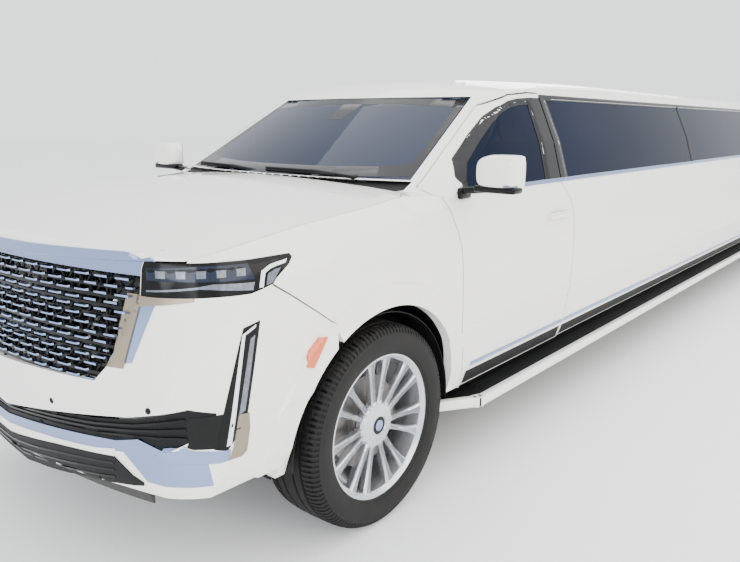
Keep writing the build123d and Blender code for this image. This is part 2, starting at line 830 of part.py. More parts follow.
def tailgate_outline(grow):
    """Front-view outline of the tailgate, with an arched top."""
    with BuildSketch() as face:
        with BuildLine():
            foot = (TAILGATE_HALF, TAILGATE_FOOT)
            top = (TAILGATE_HALF, TAILGATE_TOP_CORNER)
            Polyline((-top[0], top[1]), (-foot[0], foot[1]), foot, top)
            ThreePointArc(top, (0, TAILGATE_TOP), (-top[0], top[1]))
        make_face()
        if grow:
            offset(amount=grow, kind=Kind.TANGENT)
    return face.sketch


def tail_prism(face, low_y, high_y):
    """Front-view face carried along the vehicle."""
    with BuildPart() as solid:
        with BuildSketch(Plane.XZ.offset(-low_y)):
            add(face)
        extrude(amount=low_y - high_y)
    return solid.part


TAIL_LOW_Y = TAIL_Y - TAIL_WALL_AHEAD
TAILGATE_APERTURE = tail_prism(tailgate_outline(DOOR_GAP), TAIL_LOW_Y, tail_reach)
tail_lamp_face = (
    (TAIL_LAMP_INNER + PANEL_GAP, TAIL_LAMP_FOOT),
    (TAIL_LAMP_OUTER, TAIL_LAMP_FOOT),
    (TAIL_LAMP_OUTER, TAIL_LAMP_TOP),
    (TAIL_LAMP_INNER + PANEL_GAP, TAIL_LAMP_TOP),
)
TAIL_LAMP_PRISM = front_prism(tail_lamp_face, TAIL_Y - TAIL_LAMP_AHEAD - 120, tail_reach)

apertures = (FRONT_APERTURE, REAR_APERTURE, TAILGATE_APERTURE, ARCH_REAR, TAIL_LAMP_PRISM)
side_region = cut_from(side_prism(side_rows, 0, SIDE_LOW_X / 2, FAR), *apertures, *SALOON_PANES)
with BuildPart() as body_side_left:
    add(layer(side_region, PAINTED, WALL_INNER))

with BuildPart() as side_glass:
    for pane in SALOON_PANES:
        add(glass(pane))
    mirror(about=Plane.YZ)

with BuildPart() as tail_lamps:
    add(layer(TAIL_LAMP_PRISM, OUTER, WALL_INNER))
    mirror(about=Plane.YZ)

# Roof with its windscreen pillars
SCREEN_PRISM = front_prism(both_sides(SCREEN_SIDE), FRONT_AXLE_Y, FRONT_AXLE_Y + SCREEN_TOP_AFT)
roof_rows = (
    (FRONT_AXLE_Y, PILLAR_FOOT),
    (FRONT_AXLE_Y, ROOF_HEIGHT + 50),
    (tail_reach, ROOF_HEIGHT + 50),
    (tail_reach, ROOF_SEAM),
    (side_front_y, ROOF_SEAM),
    (side_front_y, PILLAR_FOOT),
)
roof_cuts = (FRONT_APERTURE, mirrored(FRONT_APERTURE), SCREEN_PRISM, TAILGATE_APERTURE)
with BuildPart() as roof:
    add(layer(cut_from(side_prism(roof_rows, 0, -FAR, FAR), *roof_cuts), HOUSE_OUTER, WALL_INNER))

with BuildPart() as windscreen:
    add(glass(SCREEN_PRISM))

# Tailgate and its glass, with the two holes of the licence plate
TAIL_WINDOW_PRISM = front_prism(both_sides(TAIL_WINDOW), TAIL_LOW_Y, tail_reach)
tailgate_skin = cut_from(tail_prism(tailgate_outline(0), TAIL_LOW_Y, tail_reach), TAIL_WINDOW_PRISM)
tailgate_core = cut_from(tail_prism(tailgate_outline(-SHUT_STEP), TAIL_LOW_Y, tail_reach), TAIL_WINDOW_PRISM)
with BuildPart() as tailgate:
    add(layer(tailgate_skin, OUTER, SKIN_INNER))
    add(layer(tailgate_core, SKIN_INNER, WALL_INNER))
    with BuildSketch(Plane.XZ.offset(-tail_reach)):
        with Locations((0, PLATE_HEIGHT)):
            with GridLocations(PLATE_HOLE_SPACING, 0, 2, 1):
                Circle(PLATE_HOLE_RADIUS)
    extrude(amount=tail_reach - TAIL_Y + DOOR_WALL, mode=Mode.SUBTRACT)

with BuildPart() as tailgate_glass:
    add(glass(TAIL_WINDOW_PRISM))

# Front face
front_low_y = NOSE_Y - 100
front_high_y = FRONT_AXLE_Y - ARCH_RADIUS - 40


def face_prism(points):
    """Front-view outline carried through the nose."""
    return front_prism(points, front_low_y, front_high_y)


GRILLE_PRISM = face_prism(both_sides(GRILLE_SIDE + ((0, GRILLE_FOOT),)))
TRIM_PRISM = face_prism(GRILLE_TRIM_SIDE)
INTAKE_PRISM = face_prism(both_sides(((0, INTAKE_TOP),) + INTAKE_SIDE + ((0, INTAKE_FOOT),)))
LOWER_TRIM_PRISM = face_prism(both_sides(((0, INTAKE_FOOT),) + LOWER_TRIM_SIDE + ((0, LOWER_TRIM_FOOT),)))
CORNER_LAMP_PRISM = face_prism(CORNER_LAMP_SIDE)
bar_top = BONNET_LIP_HEIGHT - PANEL_GAP
bar_half = GRILLE_SIDE[0][0]
BAR_PRISM = face_prism(both_sides(((bar_half, bar_top), GRILLE_SIDE[0])))
bumper_rows = (
    (NOSE_AFT - 100, CHIN_FOOT),
    (NOSE_AFT - 100, bar_top),
    (LAMP_OUTLINE[2][0], bar_top),
    (WING_SEAM[2][0] - PANEL_GAP, WING_SEAM[2][1] - PANEL_GAP),
    (WING_SEAM[1][0], WING_SEAM[1][1] - PANEL_GAP),
    (WING_SEAM[0][0], WING_SEAM[0][1]),
    (WING_SEAM[0][0], CHIN_FOOT),
)
chin_rows = ((0, CHIN_FOOT),) + CHIN_SIDE + ((FAR, GROUND_CLEARANCE), (0, GROUND_CLEARANCE - 50))
CHIN_PRISM = face_prism(both_sides(chin_rows))
side_tools = (TRIM_PRISM, CORNER_LAMP_PRISM, LAMP_PRISM)
centre_tools = (GRILLE_PRISM, INTAKE_PRISM, LOWER_TRIM_PRISM, BAR_PRISM, ARCH_FRONT, CHIN_PRISM)
bumper_outline = side_prism(bumper_rows, FRONT_AXLE_Y, -FAR, FAR)
bumper_region = cut_from(bumper_outline, *centre_tools, *side_tools, *[mirrored(tool) for tool in side_tools])
with BuildPart() as front_bumper:
    add(layer(bumper_region, PAINTED, PANEL_INNER))

with BuildSketch(Plane.XZ.offset(-front_low_y)) as lattice:
    grille_high = GRILLE_SIDE[0][1]
    grille_tall = grille_high - GRILLE_FOOT
    with Locations((0, (grille_high + GRILLE_FOOT) / 2)):
        with GridLocations(0, grille_tall / GRILLE_ROWS, 1, GRILLE_ROWS):
            Rectangle(2 * bar_half, GRILLE_BAR_HEIGHT)
        with GridLocations(2 * bar_half / GRILLE_STRUTS, 0, GRILLE_STRUTS, 1):
            Rectangle(GRILLE_STRUT_WIDTH, grille_tall)
with BuildPart() as lattice_bars:
    extrude(to_extrude=lattice.sketch, amount=front_low_y - front_high_y)
with BuildPart() as grille:
    add(common(layer(GRILLE_PRISM, SKIN_INNER, PANEL_INNER), lattice_bars.part))

with BuildPart() as brightwork:
    trims = joined(TRIM_PRISM, mirrored(TRIM_PRISM), BAR_PRISM, LOWER_TRIM_PRISM)
    add(layer(trims, OUTER, PANEL_INNER))

chin_top = ((0, CHIN_FOOT), *CHIN_SIDE[:2], (CHIN_HALF, CHIN_SIDE[1][1]))
CHIN_BAND = both_sides(chin_top + ((CHIN_HALF, CHIN_LOW), (0, CHIN_LOW)))
with BuildPart() as lower_grille:
    add(layer(joined(INTAKE_PRISM, face_prism(CHIN_BAND)), SKIN_INNER, PANEL_INNER))

with BuildPart() as front_lamps:
    add(layer(joined(LAMP_PRISM, CORNER_LAMP_PRISM), OUTER, WALL_INNER))
    mirror(about=Plane.YZ)

COWL_HALF = WING_INNER_X
cowl_rows = (
    (COWL_HALF, FRONT_AXLE_Y + BONNET_REAR_CENTRE_AFT - 60),
    (COWL_HALF, FRONT_AXLE_Y + COWL_REAR_AFT),
    (-COWL_HALF, FRONT_AXLE_Y + COWL_REAR_AFT),
    (-COWL_HALF, FRONT_AXLE_Y + BONNET_REAR_CENTRE_AFT - 60),
)
with BuildPart() as cowl:
    cowl_region = cut_from(plan_prism(cowl_rows, BONNET_LIP_HEIGHT, PILLAR_FOOT), BONNET_CUT)
    add(layer(cowl_region, SKIN_INNER, PANEL_INNER))

rear_bumper_rows = (
    (REAR_BUMPER_SEAM_BEHIND + PANEL_GAP, REAR_BUMPER_FOOT + 60),
    (REAR_BUMPER_SEAM_BEHIND + PANEL_GAP, REAR_BUMPER_TOP),
    (REAR_OVERHANG + 100, REAR_BUMPER_TOP),
    (REAR_OVERHANG + 100, REAR_BUMPER_FOOT),
    (REAR_OVERHANG - 260, REAR_BUMPER_FOOT),
)
with BuildPart() as rear_bumper:
    rear_bumper_region = cut_from(side_prism(rear_bumper_rows, REAR_AXLE_Y, -FAR, FAR), ARCH_REAR)
    add(layer(rear_bumper_region, PAINTED, PANEL_INNER))

# Chassis frame: two rails that kick up over the rear axle, with crossmembers
RAIL_TOP = RAIL_BOTTOM + RAIL_HEIGHT
crossmember_foot = RAIL_TOP - CROSSMEMBER_HEIGHT
RAIL_INNER = RAIL_X - RAIL_WIDTH / 2
RAIL_OUTER = RAIL_X + RAIL_WIDTH / 2
FLOOR_BOTTOM = FLOOR_TOP - FLOOR_THICKNESS
KICK_FRONT_Y = REAR_AXLE_Y - KICK_AHEAD
KICK_REAR_Y = KICK_FRONT_Y + KICK_RUN
RAIL_FRONT_Y = FRONT_AXLE_Y - RAIL_AHEAD
RAIL_REAR_Y = REAR_AXLE_Y + RAIL_BEHIND
rail_rows = (
    (RAIL_FRONT_Y, RAIL_BOTTOM),
    (KICK_FRONT_Y, RAIL_BOTTOM),
    (KICK_REAR_Y, RAIL_BOTTOM + KICK_RISE),
    (RAIL_REAR_Y, RAIL_BOTTOM + KICK_RISE),
    (RAIL_REAR_Y, RAIL_TOP + KICK_RISE),
    (KICK_REAR_Y - RAIL_HEIGHT / 3, RAIL_TOP + KICK_RISE),
    (KICK_FRONT_Y - RAIL_HEIGHT / 3, RAIL_TOP),
    (RAIL_FRONT_Y, RAIL_TOP),
)


def paired(body):
    """A left piece with its right twin."""
    with BuildPart() as result:
        add(body)
        mirror(body, about=Plane.YZ)
    return result.part


with BuildPart() as frame_rails:
    add(side_prism(rail_rows, 0, RAIL_INNER, RAIL_OUTER))
    mirror(about=Plane.YZ)
    for aft in CROSSMEMBER_AFTS:
        y = FRONT_AXLE_Y + aft
        half = CROSSMEMBER_LENGTH / 2
        add(block((-RAIL_INNER, y - half, RAIL_TOP - CROSSMEMBER_HEIGHT), (RAIL_INNER, y + half, RAIL_TOP)))
    for behind in REAR_CROSSMEMBERS:
        y = REAR_AXLE_Y + behind
        half = CROSSMEMBER_LENGTH / 2
        foot = RAIL_BOTTOM + KICK_RISE
        add(block((-RAIL_INNER, y - half, foot), (RAIL_INNER, y + half, foot + CROSSMEMBER_HEIGHT)))
    for aft in JACK_PAD_AFTS:
        y = FRONT_AXLE_Y + aft
        half = JACK_PAD_LENGTH / 2
        pad = block((RAIL_INNER, y - half, RAIL_BOTTOM - JACK_PAD_DEPTH), (RAIL_OUTER, y + half, RAIL_BOTTOM))
        add(paired(pad))
    beam_half = RAIL_OUTER + BEAM_REACH
    front_beam = block((-beam_half, NOSE_Y, RAIL_TOP - BEAM_HEIGHT), (beam_half, RAIL_FRONT_Y, RAIL_TOP))
    rear_low = RAIL_BOTTOM + KICK_RISE
    rear_beam = block((-beam_half, RAIL_REAR_Y, rear_low), (beam_half, TAIL_Y, rear_low + BEAM_HEIGHT))
    add(common(PANEL_INNER, joined(front_beam, rear_beam)))

# Floor: main floor, kick-up wall, rear floor, firewall and the hollow sills, as one welded pan
FIREWALL_Y = FRONT_AXLE_Y + FIREWALL_AFT
REAR_FLOOR_TOP = FLOOR_TOP + KICK_RISE
REAR_FLOOR_BOTTOM = REAR_FLOOR_TOP - FLOOR_THICKNESS
STEP_Y = KICK_FRONT_Y - RAIL_HEIGHT / 3 - SEAT_GAP
floor_end_y = REAR_AXLE_Y + FLOOR_BEHIND
floor_rows = (
    (FIREWALL_Y, FLOOR_BOTTOM),
    (FIREWALL_Y, FLOOR_TOP),
    (STEP_Y, FLOOR_TOP),
    (STEP_Y, FLOOR_BOTTOM),
)
firewall = block((-PAN_HALF, FIREWALL_Y, FLOOR_TOP), (PAN_HALF, FIREWALL_Y + FIREWALL_THICKNESS, FIREWALL_TOP))
step_wall = block((-PAN_HALF, STEP_Y - FLOOR_THICKNESS, FLOOR_TOP), (PAN_HALF, STEP_Y, REAR_FLOOR_TOP))
rear_floor_rows = (
    (PAN_HALF, STEP_Y),
    (PAN_HALF, floor_end_y - REAR_FLOOR_TAPER),
    (PAN_HALF - 0.7 * REAR_FLOOR_TAPER, floor_end_y),
)
rear_floor = plan_prism(both_sides(rear_floor_rows), REAR_FLOOR_BOTTOM, REAR_FLOOR_TOP)
SILL_LOW = BOARD_TOP
sill_rows = (
    (FIREWALL_Y, SILL_LOW),
    (REAR_AXLE_Y - ARCH_LINER_RADIUS, SILL_LOW),
    (REAR_AXLE_Y - ARCH_LINER_RADIUS, FLOOR_TOP),
    (FIREWALL_Y, FLOOR_TOP),
)


def arch_well(radius, low_x, high_x):
    """Round spaces over the wheels of both axles, both sides."""
    with BuildPart() as wells:
        for y in (FRONT_AXLE_Y, REAR_AXLE_Y):
            add(axle_cylinder(radius, low_x, high_x, y, ARCH_CENTRE_HEIGHT))
        mirror(about=Plane.YZ)
    return wells.part


LINER_OUTER = ARCH_LINER_RADIUS + ARCH_LINER_WALL
with BuildPart() as floor_pan:
    low_pan = joined(side_prism(floor_rows, 0, -FAR, FAR), paired(side_prism(sill_rows, 0, SILL_INNER, FAR)))
    add(common(WALL_INNER, low_pan))
    add((firewall, step_wall, rear_floor))
    add(arch_well(LINER_OUTER, LINER_INNER_X - ARCH_LINER_WALL, FAR), mode=Mode.SUBTRACT)

liner = cut_from(arch_well(LINER_OUTER, LINER_INNER_X, FAR), arch_well(ARCH_LINER_RADIUS, 0, FAR))
front_space = block((-FAR, NOSE_Y, LINER_FOOT), (FAR, 0, ROOF_HEIGHT))
rear_space = block((-FAR, 0, LINER_FOOT), (FAR, TAIL_Y, ROOF_HEIGHT))
wall_low_x = LINER_INNER_X - ARCH_LINER_WALL
housing_wall = axle_cylinder(LINER_OUTER, wall_low_x, LINER_INNER_X, REAR_AXLE_Y, ARCH_CENTRE_HEIGHT)
over_floor = block((0, 0, REAR_FLOOR_BOTTOM), (FAR, TAIL_Y, ROOF_HEIGHT))
with BuildPart() as arch_liners:
    add(common(PANEL_INNER, common(liner, front_space)))
    add(common(WALL_INNER, common(liner, rear_space)))
    add(paired(common(housing_wall, over_floor)))

# Engine and gearbox, as plain blocks on their mounts
engine_low_y = FRONT_AXLE_Y - ENGINE_AHEAD
engine_high_y = FRONT_AXLE_Y + ENGINE_BEHIND
with BuildPart() as engine_block:
    add(block((-ENGINE_HALF, engine_low_y, ENGINE_FOOT), (ENGINE_HALF, engine_high_y, ENGINE_TOP)))
    mount_half = CROSSMEMBER_LENGTH / 2
    low_mount = (-RAIL_X, FRONT_AXLE_Y - mount_half, RAIL_TOP)
    high_mount = (RAIL_X, FRONT_AXLE_Y + mount_half, RAIL_TOP + FLOOR_THICKNESS)
    add(block(low_mount, high_mount))
    gearbox_end_y = FRONT_AXLE_Y + GEARBOX_AFT
    bell_low = (-GEARBOX_HALF, engine_high_y - GEARBOX_HALF, GEARBOX_FOOT)
    add(block(bell_low, (GEARBOX_HALF, engine_high_y, RAIL_TOP)))
    add(block((-GEARBOX_HALF, engine_high_y, GEARBOX_FOOT), (GEARBOX_HALF, gearbox_end_y, crossmember_foot)))

# Front suspension, left side made and mirrored
LOWER_ARM_Z, LOWER_ARM_THICKNESS, LOWER_SPREAD = LOWER_WISHBONE
UPPER_ARM_Z, UPPER_ARM_THICKNESS, UPPER_SPREAD = UPPER_WISHBONE


def wishbone(height, thickness, spread, notch):
    """Arm from its chassis pivots to the steering stud; the notch opens it into two legs."""
    rows = (
        (WISHBONE_INNER_X, -spread),
        (KINGPIN_X, -WISHBONE_TIP),
        (KINGPIN_X, WISHBONE_TIP),
        (WISHBONE_INNER_X, spread),
        (WISHBONE_INNER_X, spread - WISHBONE_LEG),
        (WISHBONE_INNER_X + notch, 0),
        (WISHBONE_INNER_X, WISHBONE_LEG - spread),
    )
    with BuildPart() as arm:
        with BuildSketch(Plane((0, FRONT_AXLE_Y, height))):
            with BuildLine():
                Polyline(*rows, close=True)
            make_face()
            with Locations((KINGPIN_X, 0)):
                Circle(WISHBONE_TIP)
                Circle(STUD_RADIUS + STUD_GAP, mode=Mode.SUBTRACT)
        extrude(amount=thickness)
    return arm.part


def rod(start, end, radius):
    """Straight round bar between two points."""
    run = Vector(*end) - Vector(*start)
    with BuildPart() as bar:
        with BuildSketch(Plane(origin=start, z_dir=run)):
            Circle(radius)
        extrude(amount=run.length)
    return bar.part


def upright_block(low_x, high_x, half_y, low_z, high_z, y=FRONT_AXLE_Y):
    """Box centred on an axle's place on Y."""
    return block((low_x, y - half_y, low_z), (high_x, y + half_y, high_z))


WISHBONE_NOTCH = KINGPIN_X - WISHBONE_INNER_X - 2 * WISHBONE_TIP
with BuildPart() as front_suspension:
    add(wishbone(LOWER_ARM_Z, LOWER_ARM_THICKNESS, LOWER_SPREAD, WISHBONE_LEG))
    add(wishbone(UPPER_ARM_Z, UPPER_ARM_THICKNESS, UPPER_SPREAD, WISHBONE_NOTCH))
    add(upright_block(RAIL_X, RAIL_X + TOWER_THICKNESS, LOWER_SPREAD, LOWER_ARM_Z, RAIL_BOTTOM))
    add(upright_block(RAIL_X, RAIL_X + TOWER_THICKNESS, UPPER_SPREAD, RAIL_TOP, UPPER_ARM_Z + TOWER_THICKNESS))
    cap_top = STRUT_TOP + LOWER_ARM_THICKNESS
    add(upright_block(RAIL_X, RAIL_X + TOWER_THICKNESS, STRUT_RADIUS, RAIL_TOP, cap_top))
    add(upright_block(RAIL_X, STRUT_X + STRUT_RADIUS, STRUT_RADIUS, STRUT_TOP, cap_top))
    strut_foot = LOWER_ARM_Z + LOWER_ARM_THICKNESS
    add(rod((STRUT_X, FRONT_AXLE_Y, strut_foot), (STRUT_X, FRONT_AXLE_Y, STRUT_TOP), STRUT_RADIUS))
    mirror(about=Plane.YZ)
    add(upright_block(-RAIL_X, RAIL_X, CROSSMEMBER_LENGTH, LOWER_ARM_Z, LOWER_ARM_Z + CROSSMEMBER_HEIGHT))

# Brakes and hubs. The disc is part of the wheel, the caliper part of what carries it.
WHEEL_X = TRACK / 2
UPRIGHT_X = KINGPIN_X + UPRIGHT_WIDTH / 2


def caliper(y):
    """Brake caliper that straddles the left disc of one axle."""
    inner_x = WHEEL_X - DISC_BACK - CALIPER_GAP
    outer_x = inner_x + DISC_THICKNESS + 2 * CALIPER_GAP
    bridge_low = y + DISC_RADIUS + 1.6 * CALIPER_GAP
    bridge_high = bridge_low + CALIPER_BRIDGE
    low_z = TYRE_RADIUS - CALIPER_HALF
    high_z = TYRE_RADIUS + CALIPER_HALF
    with BuildPart() as body:
        add(block((UPRIGHT_X - CALIPER_BRIDGE, y, low_z), (inner_x, bridge_high, high_z)))
        add(block((inner_x, bridge_low, low_z), (outer_x, bridge_high, high_z)))
        jaw_low = y + HAT_RADIUS + 3 * CALIPER_GAP
        add(block((outer_x, jaw_low, low_z), (outer_x + CALIPER_JAW, bridge_high, high_z)))
    return body.part


def spindle(y, root_x):
    """Bearing carrier and spindle of one left wheel."""
    face_x = UPRIGHT_X + UPRIGHT_GAP
    with BuildPart() as body:
        add(axle_cylinder(CARRIER_RADIUS, root_x, face_x, y, TYRE_RADIUS))
        add(axle_cylinder(SPINDLE_RADIUS, face_x, face_x + SPINDLE_LENGTH, y, TYRE_RADIUS))
    return body.part


with BuildPart() as knuckle_left:
    low_z = strut_foot + UPRIGHT_GAP
    high_z = UPPER_ARM_Z - UPRIGHT_GAP
    add(upright_block(KINGPIN_X - UPRIGHT_WIDTH / 2, UPRIGHT_X, UPRIGHT_HALF, low_z, high_z))
    add(spindle(FRONT_AXLE_Y, KINGPIN_X - UPRIGHT_HALF))
    add(caliper(FRONT_AXLE_Y))
    stud_foot = LOWER_ARM_Z - CALIPER_GAP
    stud_top = UPPER_ARM_Z + UPPER_ARM_THICKNESS + CALIPER_GAP
    add(rod((KINGPIN_X, FRONT_AXLE_Y, stud_foot), (KINGPIN_X, FRONT_AXLE_Y, low_z), STUD_RADIUS))
    add(rod((KINGPIN_X, FRONT_AXLE_Y, high_z), (KINGPIN_X, FRONT_AXLE_Y, stud_top), STUD_RADIUS))
    arm_low = (KINGPIN_X - STEERING_ARM_WIDTH, FRONT_AXLE_Y, low_z + STEERING_ARM_WIDTH)
    arm_high = (KINGPIN_X, FRONT_AXLE_Y + STEERING_ARM, low_z + 2 * STEERING_ARM_WIDTH)
    add(block(arm_low, arm_high))

with BuildPart() as rear_axle:
    add(axle_cylinder(AXLE_TUBE_RADIUS, 0, KINGPIN_X - UPRIGHT_HALF, REAR_AXLE_Y, TYRE_RADIUS))
    add(spindle(REAR_AXLE_Y, KINGPIN_X - UPRIGHT_HALF))
    add(caliper(REAR_AXLE_Y))
    spring_top = (RAIL_X, REAR_AXLE_Y, RAIL_BOTTOM + KICK_RISE)
    add(rod((RAIL_X, REAR_AXLE_Y, TYRE_RADIUS), spring_top, SPRING_RADIUS))
    arm_start_y = KICK_FRONT_Y - CROSSMEMBER_LENGTH
    arm_start = (TRAILING_ARM_X, arm_start_y, EXHAUST_HEIGHT)
    add(rod(arm_start, (TRAILING_ARM_X, REAR_AXLE_Y, TYRE_RADIUS), TRAILING_ARM_RADIUS))
    bracket_low = (RAIL_OUTER, arm_start_y - CROSSMEMBER_LENGTH, EXHAUST_HEIGHT - CROSSMEMBER_HEIGHT)
    bracket_x = TRAILING_ARM_X + CROSSMEMBER_HEIGHT / 2
    add(block(bracket_low, (bracket_x, arm_start_y, EXHAUST_HEIGHT + CROSSMEMBER_HEIGHT)))
    mirror(about=Plane.YZ)
    add(axle_cylinder(DIFFERENTIAL_RADIUS, -DIFFERENTIAL_HALF, DIFFERENTIAL_HALF, REAR_AXLE_Y, TYRE_RADIUS))
    pinion_end = (0, REAR_AXLE_Y - PINION_LENGTH, TYRE_RADIUS)
    add(rod(pinion_end, (0, REAR_AXLE_Y, TYRE_RADIUS), 1.5 * PROPSHAFT_RADIUS))

# Propeller shaft in two runs, exhaust with its silencer, and their hangers
tail_start_y = KICK_FRONT_Y + CROSSMEMBER_LENGTH
exhaust_over_z = RAIL_BOTTOM + KICK_RISE - EXHAUST_RADIUS
exhaust_route = (
    (EXHAUST_X, engine_high_y, ENGINE_FOOT + EXHAUST_RADIUS),
    (EXHAUST_X, engine_high_y + 3 * EXHAUST_RADIUS, ENGINE_FOOT + EXHAUST_RADIUS),
    (EXHAUST_X, engine_high_y + 8 * EXHAUST_RADIUS, EXHAUST_HEIGHT),
    (EXHAUST_X, tail_start_y, EXHAUST_HEIGHT),
    (EXHAUST_X, REAR_AXLE_Y - KICK_RUN, exhaust_over_z),
    (EXHAUST_X, REAR_AXLE_Y + KICK_RUN, exhaust_over_z),
    (EXHAUST_X, REAR_AXLE_Y + 2 * KICK_RUN, EXHAUST_HEIGHT),
    (EXHAUST_X, RAIL_REAR_Y, EXHAUST_HEIGHT),
)
with BuildPart() as exhaust_pipe:
    with BuildLine():
        Polyline(*exhaust_route)
    with BuildSketch(Plane(origin=exhaust_route[0], z_dir=(0, 1, 0))):
        Circle(EXHAUST_RADIUS)
    sweep(transition=Transition.RIGHT)

muffler_front, muffler_rear, muffler_wide, muffler_tall = MUFFLER
with BuildPart() as driveline:
    joint = (0, FRONT_AXLE_Y + PROPSHAFT_JOINT_AFT, PROPSHAFT_HEIGHT)
    add(rod((0, gearbox_end_y, PROPSHAFT_HEIGHT), joint, PROPSHAFT_RADIUS))
    add(rod(joint, (0, REAR_AXLE_Y - PINION_LENGTH - SEAT_GAP, TYRE_RADIUS), PROPSHAFT_RADIUS))
    add(exhaust_pipe.part)
    with BuildSketch(Plane.XZ.offset(-FRONT_AXLE_Y - muffler_front)):
        with Locations((EXHAUST_X, EXHAUST_HEIGHT - muffler_tall / 10)):
            RectangleRounded(muffler_wide, muffler_tall, 0.45 * muffler_tall)
    extrude(amount=muffler_front - muffler_rear)
    for aft in HANGER_AFTS:
        for x, foot in ((0, PROPSHAFT_HEIGHT), (EXHAUST_X, EXHAUST_HEIGHT)):
            half = PROPSHAFT_RADIUS / 2
            low = (x - half, FRONT_AXLE_Y + aft - half, foot)
            add(block(low, (x + half, FRONT_AXLE_Y + aft + half, crossmember_foot)))

tank_front, tank_rear, tank_outer, tank_inner, tank_foot = TANK
with BuildPart() as fuel_tank:
    low = (-tank_outer, FRONT_AXLE_Y + tank_front, tank_foot)
    add(block(low, (-tank_inner, FRONT_AXLE_Y + tank_rear, crossmember_foot)))
    fillet(fuel_tank.edges().filter_by(Axis.Y), EXHAUST_RADIUS)

# Running boards
board_front_y = FRONT_AXLE_Y + BOARD_FRONT_AFT
board_rear_y = REAR_AXLE_Y - BOARD_REAR_AHEAD
board_rows = (
    (BOARD_INNER, board_front_y),
    (BOARD_OUTER, board_front_y + BOARD_TAPER),
    (BOARD_OUTER, board_rear_y - BOARD_TAPER),
    (BOARD_INNER, board_rear_y),
)
with BuildPart() as running_boards:
    add(plan_prism(board_rows, BOARD_TOP - BOARD_DEPTH, BOARD_TOP))
    mirror(about=Plane.YZ)

# Door mirrors
mirror_y = FRONT_AXLE_Y + MIRROR_AFT
arm_top = MIRROR_HEIGHT - MIRROR_TALL / 4
mirror_arm = block(
    (HALF_WIDTH - MIRROR_DEEP, mirror_y - MIRROR_DEEP / 4, arm_top - MIRROR_ARM_DEPTH),
    (MIRROR_INNER + MIRROR_DEEP, mirror_y + MIRROR_DEEP / 4, arm_top),
)
with BuildPart() as mirror_left:
    with BuildSketch(Plane.YZ.offset(MIRROR_INNER)):
        with Locations((mirror_y, MIRROR_HEIGHT)):
            RectangleRounded(MIRROR_DEEP, MIRROR_TALL, 0.4 * MIRROR_DEEP)
    extrude(amount=MIRROR_OUTER - MIRROR_INNER, taper=4)
    add(cut_from(mirror_arm, OUTER))

# Dashboard with the steering wheel
column_axis = Vector(0, 0.9, 0.42).normalized()
steering_centre = Vector(DRIVER_X, FRONT_AXLE_Y + STEERING_WHEEL_AFT, STEERING_WHEEL_HEIGHT)
column_foot = steering_centre - column_axis * STEERING_WHEEL_RADIUS
with BuildPart() as dashboard:
    add(side_prism(DASH_ROWS, FRONT_AXLE_Y, -DASH_HALF, DASH_HALF))
    add(rod(tuple(column_foot), tuple(steering_centre), 2 * STEERING_WHEEL_GRIP))
    with BuildSketch(Plane(origin=steering_centre, z_dir=column_axis)):
        Circle(STEERING_WHEEL_RADIUS)
        Circle(STEERING_WHEEL_RADIUS - 2 * STEERING_WHEEL_GRIP, mode=Mode.SUBTRACT)
        Rectangle(2 * (STEERING_WHEEL_RADIUS - STEERING_WHEEL_GRIP), 3 * STEERING_WHEEL_GRIP)
    extrude(amount=STEERING_WHEEL_GRIP, both=True)

with BuildPart() as front_seats:
    add(side_prism(SEAT_ROWS, FRONT_AXLE_Y, DRIVER_X - SEAT_HALF, DRIVER_X + SEAT_HALF, corner=SEAT_CORNER))
    mirror(about=Plane.YZ)

window_half, window_foot, window_top = PARTITION_WINDOW
partition_y = FRONT_AXLE_Y + PARTITION_AFT
partition_end_y = partition_y + PARTITION_THICKNESS
with BuildPart() as partition:
    add(common(WALL_INNER, block((-FAR, partition_y, FLOOR_TOP), (FAR, partition_end_y, ROOF_HEIGHT))))
    window = block((-window_half, partition_y, window_foot), (window_half, partition_end_y, window_top))
    add(window, mode=Mode.SUBTRACT)

bench_front_y = FRONT_AXLE_Y + BENCH_FRONT_AFT
bench_rows = [(-x, z) for x, z in BENCH_ROWS]
with BuildPart() as saloon_seats:
    add(front_prism(bench_rows, bench_front_y, FRONT_AXLE_Y + BENCH_REAR_AFT))
    add(side_prism(REAR_BENCH_ROWS, REAR_AXLE_Y, -REAR_BENCH_HALF, REAR_BENCH_HALF, corner=SEAT_CORNER))

bar_end_y = FRONT_AXLE_Y + BAR_REAR_AFT
bay_pitch = (bar_end_y - bench_front_y) / BAR_BAYS
bar_middle = (BAR_INNER, (bench_front_y + bar_end_y) / 2, (FLOOR_TOP + BAR_TOP) / 2)
with BuildPart() as bar_console:
    add(block((BAR_INNER, bench_front_y, FLOOR_TOP), (BAR_OUTER, bar_end_y, BAR_TOP)))
    with BuildSketch(Plane(origin=bar_middle, x_dir=(0, 1, 0), z_dir=(1, 0, 0))):
        with GridLocations(bay_pitch, 0, BAR_BAYS, 1):
            Rectangle(bay_pitch - BAR_WALL, BAR_TOP - FLOOR_TOP - 2 * BAR_WALL)
    extrude(amount=BAR_BAY_DEPTH, mode=Mode.SUBTRACT)

